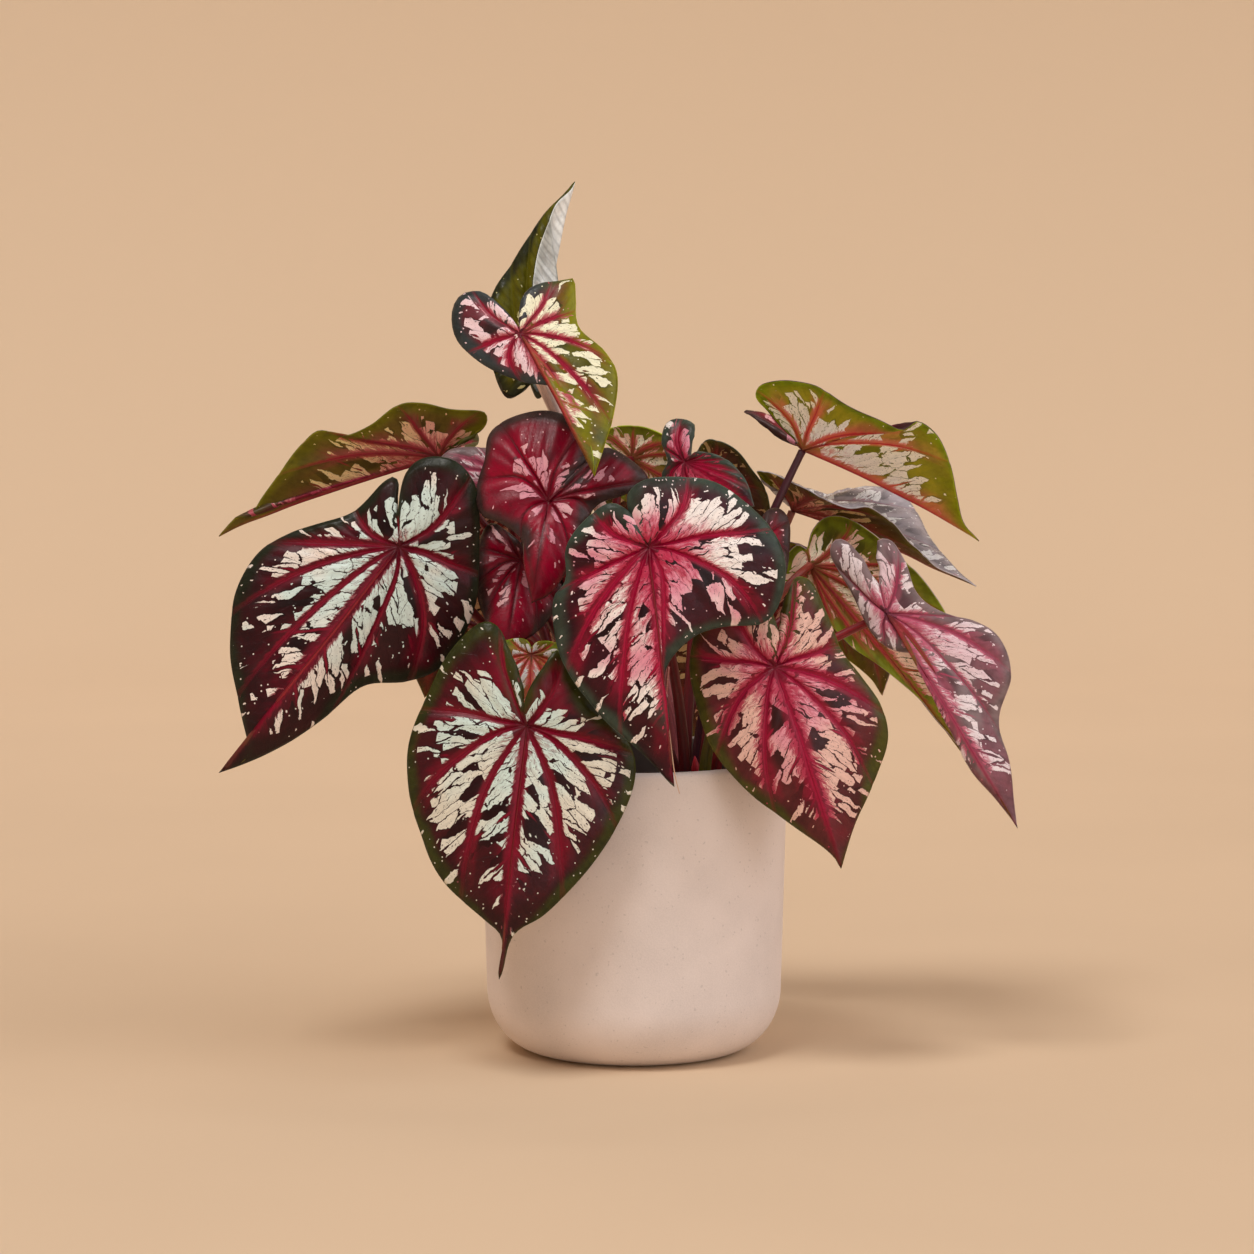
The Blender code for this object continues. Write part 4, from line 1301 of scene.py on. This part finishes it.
def ground_colours(p, at, given):
    """The blade's own colour between the veins, and the colour of its rim."""
    far_side = p.maths("MULTIPLY", at.side, given["tint_side"], clamp=True)
    far_side = far_side * p.span(at.number, 3.4, 4.3, 1.0, 0.0)
    patchy = p.mix(p.span(at.slow, 0.42, 0.58, 0.0, 0.8), given["field_far"], given["rim"])
    field = p.mix(far_side, given["field"], patchy)
    rim = p.mix(far_side, given["rim"], given["field_far"])
    out = at.share + (at.slow - 0.5) * 0.7
    away = (at.vein - at.width * 0.8) / p.span(at.share, 0.35, 0.8, 3.5, 7.5)
    red_lobe = p.span(at.number, 3.0, 3.8) * p.maths("MULTIPLY", given["lobes"], 3.0, clamp=True)
    away = p.span(away, 0.0, 1.0, 0.0, 0.9) * (1.0 - red_lobe)
    ground = p.mix(p.span(out, 0.60, 0.98).most(away), given["heart"], field)
    inner = p.span(at.reach, -0.05, 0.15) * p.span(at.vein, 2.5, 4.5, 0.0, 0.8)
    ground = p.mix(inner, ground, p.shade(field, 0.35))
    ground = p.mix(p.span(at.fine, 0.35, 0.75, 0.0, 0.35), ground, p.shade(ground, 0.5))
    cloud = p.noise(at.where, 62.0)
    ground = p.mix(p.span(cloud, 0.42, 0.64, 0.0, 0.6), ground, p.shade(ground, 0.5))
    tip = p.span(at.number, 0.5, 1.0, 1.0, 0.0) * p.span(at.share, 0.78, 0.92)
    rim_at = at.edge + tip * 6.0 - at.slow * 14.0
    rim = p.mix(p.span(at.wobble, 0.40, 0.66, 0.0, 0.7), rim, p.shade(rim, 0.45))
    return p.mix(p.span(rim_at, -5.0, 1.5, 0.95, 0.0), ground, rim), rim


def draw_veins(p, at, given, skin):
    """Draws the red veins with their dark thread, and the dark hub, over the blade's own colour."""
    core = p.span(at.vein - at.ragged * 0.5, -0.7, 0.8, 1.0, 0.0)
    core = core * p.span(at.share, 0.6, 1.0, 1.0, 0.15)
    branch_core = p.span(at.branch - at.width * 0.3, -0.5, 0.8, 0.8, 0.0)
    core = core.most(branch_core * p.span(at.share, 0.55, 0.9, 1.0, 0.0))
    skin = p.mix(core, skin, given["vein"])
    thread = p.span(at.vein, 0.15, 0.45, 0.55, 0.0) * core
    skin = p.mix(thread, skin, p.shade(given["vein"], 0.35))
    return p.mix(p.span(at.radial, 2.0, 11.0, 0.65, 0.0), skin, p.shade(given["heart"], 0.35))


def blade_pattern():
    """The pattern that all blades share: blotches broken up by fine veins, between crimson veins."""
    tree = bpy.data.node_groups.new("blade_pattern", "ShaderNodeTree")
    inputs = [(name, "Color") for name in FINISH_COLOURS] + [(name, "Float") for name in FINISH_NUMBERS]
    for name, kind in inputs + [("seed", "Float")]:
        tree.interface.new_socket(name, in_out="INPUT", socket_type="NodeSocket" + kind)
    for name, kind in (("skin", "Color"), ("gloss", "Float"), ("height", "Float")):
        tree.interface.new_socket(name, in_out="OUTPUT", socket_type="NodeSocket" + kind)
    p = Paint("blade_pattern", tree)
    sockets = p.node("NodeGroupInput").outputs
    given = {socket.name: Value(p, socket) for socket in sockets if socket.name}
    at = read_point(p, given)
    vein_spaces(p, at, given)
    blotches = torn_blotches(p, at, given)
    ground, rim = ground_colours(p, at, given)
    skin = draw_veins(p, at, given, ground)
    pale = blotches.most(speckles(p, at, given))
    skin = p.mix(pale, skin, blotch_colour(p, at, given))
    rib = p.span(p.maths("PINGPONG", at.line / RIB_SPACING, 0.5), 0.0, 0.30, 1.0, 0.0) * given["ribs"]
    skin = p.mix(rib, skin, p.shade(skin, 0.35))
    # Painted highlight: a thin bright line along the margin, in the rim colour brightened 2.2 times.
    skin = p.mix(p.span(at.edge, 0.2, 0.5, 0.6, 0.0), skin, p.shade(rim, 2.2))
    height = at.body * 0.4 + p.span(at.vein, 0.0, 1.4) + p.noise(at.where, 900.0, 2.0, 0.6) * 0.5
    p.node(
        "NodeGroupOutput",
        {"skin": skin, "gloss": p.span(at.fine, 0.3, 0.7, -0.05, 0.08), "height": height},
    )
    return tree


def blade_finish(name, look, seed):
    """One side of a blade: the shared pattern in its own colours."""
    tree = bpy.data.node_groups.get("blade_pattern") or blade_pattern()
    p = Paint(name)
    values = {key: screen(getattr(look, key)) for key in FINISH_COLOURS}
    values.update({key: getattr(look, key) for key in FINISH_NUMBERS}, seed=seed)
    pattern = p.node("ShaderNodeGroup", values, node_tree=tree)
    p.bump(p.result(pattern, "height"), 0.00035, 0.6)
    p.shader.inputs["Subsurface Weight"].default_value = look.glow
    p.shader.inputs["Subsurface Radius"].default_value = (1.0, 1.0, 0.8)
    p.shader.inputs["Subsurface Scale"].default_value = 0.003
    return p.finish(p.result(pattern, "skin"), p.result(pattern, "gloss") + look.roughness, 0.24)


def seats(leaves):
    """Where each stalk leaves its tuber, in the order of the directions they lead to."""
    places = {}
    height = tuber_top(SEAT_RING - PETIOLE_BASE_RADIUS) + GAP
    for tuber, (x, y) in TUBERS.items():
        own = [leaf for leaf in leaves if leaf.tuber == tuber]
        angle = {leaf.name: math.atan2(leaf.hub[1] * MM - y, leaf.hub[0] * MM - x) for leaf in own}
        own.sort(key=lambda leaf: angle[leaf.name])
        step = 2 * math.pi / len(own)
        start = sum(angle[leaf.name] - i * step for i, leaf in enumerate(own)) / len(own)
        for i, leaf in enumerate(own):
            turn = start + i * step
            spot = (x + SEAT_RING * math.cos(turn), y + SEAT_RING * math.sin(turn), height)
            places[leaf.name] = Vector(spot)
    return places


def extrude_rings(bm, sides, count, spoke):
    """A circle extruded into rings, each point numbered round, and the loops of edges at both ends."""
    bmesh.ops.create_circle(bm, cap_ends=False, segments=sides, radius=1)
    for i, vert in enumerate(bm.verts):
        vert[spoke] = i
    first = loop = list(bm.edges)
    rings = [list(bm.verts)]
    for _ in range(count - 1):
        made = bmesh.ops.extrude_edge_only(bm, edges=loop)["geom"]
        ring = [v for v in made if isinstance(v, bmesh.types.BMVert)]
        corners = set(ring)
        loop = [e for e in made if isinstance(e, bmesh.types.BMEdge) and corners.issuperset(e.verts)]
        rings.append(ring)
    return rings, (first, loop)


def tube(name, path, radii, sides, mat):
    """A closed round tube along a path, with a field of how far along each point is."""
    bm = bmesh.new()
    spoke = bm.verts.layers.int.new("spoke")
    rings, ends = extrude_rings(bm, sides, len(path), spoke)
    side = (path[1] - path[0]).orthogonal().normalized()
    total = sum((b - a).length for a, b in zip(path, path[1:]))
    gone = 0.0
    along = []
    for i, (spot, radius, ring) in enumerate(zip(path, radii, rings)):
        ahead = (path[min(i + 1, len(path) - 1)] - path[max(i - 1, 0)]).normalized()
        side = (side - ahead * side.dot(ahead)).normalized()
        across = ahead.cross(side)
        if i:
            gone += (spot - path[i - 1]).length
        for vert in ring:
            turn = 2 * math.pi * vert[spoke] / sides
            vert.co = spot + (side * math.cos(turn) + across * math.sin(turn)) * radius
            along.append((vert, gone / total, turn))
    for loop in ends:
        bmesh.ops.edgeloop_fill(bm, edges=loop)
    bmesh.ops.recalc_face_normals(bm, faces=bm.faces)
    bm.verts.index_update()
    values = np.zeros((len(bm.verts), 3))
    for vert, share, turn in along:
        values[vert.index] = (share, math.cos(turn), math.sin(turn))
    piece = add_piece(name, bm, [mat])
    add_field(piece, "stalk_place", values)
    return piece


def stalk_finish(name, low, high):
    """A stalk's skin: two tones along its length, streaked and flecked lengthwise."""
    p = Paint(name)
    share, turn_x, turn_y = p.field("stalk_place")
    streak = p.noise(p.vector(turn_x, turn_y, share * 5.0), 2.6, 4.0, 0.6)
    fine = p.noise(p.place(), 900.0, 2.0, 0.6)
    fleck = tuple(min(1.0, c * 2.2) for c in screen(high))
    tone = p.mix(p.span(share, 0.1, 0.9), screen(low), screen(high))
    tone = p.mix(p.span(streak, 0.45, 0.62, 0.0, 0.6), tone, p.shade(tone, 0.45))
    tone = p.mix(p.span(fine, 0.6, 0.75, 0.0, 0.25), tone, fleck)
    p.bump(fine * 0.4 + streak, 0.0002, 0.5)
    return p.finish(tone, p.span(streak, 0.3, 0.7, 0.34, 0.48), 0.5)


def build_stalk(leaf, look, seat, blade, sets):
    """A stalk from its tuber to the underside of its blade, stouter where it clasps the tuber."""
    normal = Vector(blade.normal)
    hub = Vector(leaf.hub) * MM
    cad_top = hub - normal * PETIOLE_DROP
    first = seat + Vector((0, 0, PETIOLE_END))
    last = cad_top - normal * PETIOLE_END
    rise = first + Vector((0, 0, leaf.rise * MM))
    arrive = last - normal * (leaf.reach * MM)
    path = [seat - Vector((0, 0, 0.0012))]
    for t in (i / STALK_STEPS for i in range(STALK_STEPS + 1)):
        u = 1 - t
        path.append(first * u**3 + rise * 3 * t * u**2 + arrive * 3 * t**2 * u + last * t**3)
    path += [cad_top, hub - normal * 0.0008]
    radii = []
    for share in (i / (len(path) - 1) for i in range(len(path))):
        radius = sets.base_radius + (sets.top_radius - sets.base_radius) * share
        radius *= 1 + 0.35 * math.exp(-share * 14)
        radius *= 1 + 0.25 * math.exp(-(1 - share) * 40)
        radii.append(radius * (1 + (leaf.stoutness - 1) * share**0.4))
    radii[-1] *= 0.6
    mat = stalk_finish("stalk_" + leaf.name, look.stalk_low, look.stalk_high)
    piece = tube("stalk_" + leaf.name, path, radii, 14, mat)
    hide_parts("petiole_" + leaf.name)


def build_shoot():
    """The new shoot: a pointed red sheath, still closed, on top of the front tuber."""
    base = Vector((*TUBERS["front"], tuber_top(0)))
    shares = [i / SHOOT_STEPS for i in range(SHOOT_STEPS + 1)]
    path = [base + Vector((SHOOT_SWAY * math.sin(share * 3), 0, SHOOT_HEIGHT * share)) for share in shares]
    swell = [math.sin(math.pi * (0.18 + 0.82 * share)) ** 0.8 for share in shares]
    radii = [SHOOT_RADIUS * max(0.06, width) for width in swell]
    mat = stalk_finish("sheath", (190, 10, 34), (220, 40, 60))
    shoot = tube("sheathed_shoot", path, radii, 20, mat)
    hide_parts("new_shoot")


def build_thread():
    """The dry thread that has come loose along one edge of the middle leaf's tip."""
    path = [Vector(spot) * MM for spot in smooth_run(THREAD_SPOTS, 40)]
    radii = [THREAD_RADIUS * (1 - 0.75 * i / (len(path) - 1)) for i in range(len(path))]
    mat = stalk_finish("dry_skin", (150, 78, 68), (214, 168, 136))
    tube("dry_thread", path, radii, 8, mat)


def paper(name, profile, reach, mat):
    """A sheet of backdrop paper: a profile drawn out along one direction."""
    bm = bmesh.new()
    edges = draw_row(bm, profile)[1]
    moved = bmesh.ops.extrude_edge_only(bm, edges=edges)["geom"]
    bmesh.ops.translate(bm, vec=reach, verts=[v for v in moved if isinstance(v, bmesh.types.BMVert)])
    bmesh.ops.recalc_face_normals(bm, faces=bm.faces)
    sheet = mesh_object(name, bm, [mat])
    sheet.data.shade_smooth()
    return sheet


def build_backdrop(floor):
    """A seamless pale floor that turns up into a backdrop behind, and into a wing on each side."""
    p = Paint("studio_paper")
    soft = p.noise(p.place(), 3.0)
    tone = p.mix(p.span(soft, 0.3, 0.7), floor, tinted(floor, 0.97))
    tone = p.mix(p.span(p.split(p.place())[1], 1.2, 2.4), tone, tinted(floor, 0.89))
    mat = p.finish(tone, 0.9, 0.2)
    turned = arc((0, 0), (BACK_BEND, BACK_BEND), -math.pi / 2, 0, 16)
    profile = [(STAGE_FRONT, 0.0)] + [(STAGE_BACK + y, BACK_BEND + z) for y, z in turned]
    profile += [(STAGE_BACK + BACK_BEND, BACK_TOP)]
    spots = [Vector((-STAGE_SIDE, y, z)) for y, z in profile]
    paper("studio_sweep", spots, (2 * STAGE_SIDE, 0, 0), mat)
    for name, side in (("studio_wing_left", -1), ("studio_wing_right", 1)):
        profile = arc((0, WING_BEND), (WING_BEND, WING_BEND), -math.pi / 2, 0, 24)
        profile += [(WING_BEND, WING_TOP)]
        spots = [Vector((side * (STAGE_SIDE + x), STAGE_FRONT, z)) for x, z in profile]
        paper(name, spots, (0, STAGE_BACK - STAGE_FRONT, 0), mat)


def build_lights(key):
    """The air's soft light, and a key, a fill, a back and a front light at shares of the key's strength."""
    world = bpy.data.worlds.new("studio_air")
    world.use_nodes = True
    air = world.node_tree.nodes["Background"]
    air.inputs["Color"].default_value = (1.0, 0.80, 0.64, 1.0)
    air.inputs["Strength"].default_value = 0.29
    bpy.context.scene.world = world
    for name, source, spread, share, colour, shine in (
        ("key_light", (-0.26, -0.42, 0.86), 0.40, 1.0, (1.0, 0.98, 0.95), 1.0),
        ("fill_light", (0.90, -0.32, 0.34), 1.3, 1.12, (0.96, 1.0, 1.06), 0.6),
        ("back_light", (0.10, 0.65, 0.75), 0.6, 0.80, (1.0, 0.98, 0.95), 0.15),
        ("front_light", (0.34, -0.93, 0.04), 0.9, 0.27, (0.97, 1.0, 1.04), 0.3),
    ):
        light = bpy.data.lights.new(name, "SUN")
        light.angle = spread
        light.energy = key * share
        light.color = colour
        light.specular_factor = shine
        lamp = bpy.data.objects.new(name, light)
        lamp.location = Vector(source) * 2
        lamp.rotation_euler = Vector(source).to_track_quat("Z", "Y").to_euler()
        bpy.context.scene.collection.objects.link(lamp)


def build_camera(lens):
    """The camera, at the photograph's viewing angle, with plain screen colours."""
    camera = bpy.data.cameras.new("photo_view")
    camera.lens = lens
    camera.sensor_width = 36.0
    seen = bpy.data.objects.new("photo_view", camera)
    seen.location = VIEW_FROM
    seen.rotation_euler = (Vector(VIEW_TO) - seen.location).to_track_quat("-Z", "Y").to_euler()
    bpy.context.scene.collection.objects.link(seen)
    bpy.context.scene.camera = seen
    bpy.context.scene.view_settings.view_transform = "Standard"


class PotOperator(bpy.types.Operator):
    """Builds the clay pot."""

    bl_idname = "caladium.pot"
    bl_label = "Pot"

    def execute(self, context):
        build_pot(context.scene.caladium_pot)
        return {"FINISHED"}


class SoilOperator(bpy.types.Operator):
    """Builds the soil, its crumbs, the tubers, the new shoot and the dry thread."""

    bl_idname = "caladium.soil"
    bl_label = "Soil and tubers"

    def execute(self, context):
        build_soil(context.scene.caladium_soil)
        build_tubers()
        build_shoot()
        build_thread()
        return {"FINISHED"}


class FoliageOperator(bpy.types.Operator):
    """Builds every blade and the stalk that carries it."""

    bl_idname = "caladium.foliage"
    bl_label = "Leaves and stalks"

    def execute(self, context):
        leaves = LEAVES + [heart_leaf(back) for back in BACK_LEAVES]
        places = seats(leaves)
        for leaf in leaves:
            look = LOOKS[leaf.name]
            blade = build_blade(leaf, look, context.scene.caladium_blade)
            build_stalk(leaf, look, places[leaf.name], blade, context.scene.caladium_stalk)
        return {"FINISHED"}


class StageOperator(bpy.types.Operator):
    """Builds the floor and backdrop, the lights and the camera."""

    bl_idname = "caladium.stage"
    bl_label = "Studio"

    def execute(self, context):
        sets = context.scene.caladium_stage
        build_backdrop(tuple(sets.floor))
        build_lights(sets.key)
        build_camera(sets.lens)
        return {"FINISHED"}


class CaladiumPanel(bpy.types.Panel):
    """Lists the pieces of the plant and the studio."""

    bl_idname = "VIEW3D_PT_caladium"
    bl_label = "Caladium"
    bl_space_type = "VIEW_3D"
    bl_region_type = "UI"
    bl_category = "Caladium"

    def draw(self, context):
        for name, group in SETTINGS.items():
            box = self.layout.box()
            for key in group.__annotations__:
                box.prop(getattr(context.scene, name), key)
        for operator in OPERATORS:
            self.layout.operator(operator.bl_idname)


SETTINGS = {
    "caladium_pot": PotSettings,
    "caladium_soil": SoilSettings,
    "caladium_blade": BladeSettings,
    "caladium_stalk": StalkSettings,
    "caladium_stage": StageSettings,
}
OPERATORS = (PotOperator, SoilOperator, FoliageOperator, StageOperator)


def register():
    for name, group in SETTINGS.items():
        bpy.utils.register_class(group)
        setattr(bpy.types.Scene, name, bpy.props.PointerProperty(type=group))
    for cls in OPERATORS + (CaladiumPanel,):
        bpy.utils.register_class(cls)


def unregister():
    for cls in (CaladiumPanel,) + OPERATORS[::-1]:
        bpy.utils.unregister_class(cls)
    for name, group in reversed(SETTINGS.items()):
        delattr(bpy.types.Scene, name)
        bpy.utils.unregister_class(group)


def main():
    """Builds everything."""
    register()
    bpy.ops.caladium.pot()
    bpy.ops.caladium.soil()
    bpy.ops.caladium.foliage()
    bpy.ops.caladium.stage()
    bpy.context.view_layer.update()


if __name__ == "__main__":
    main()
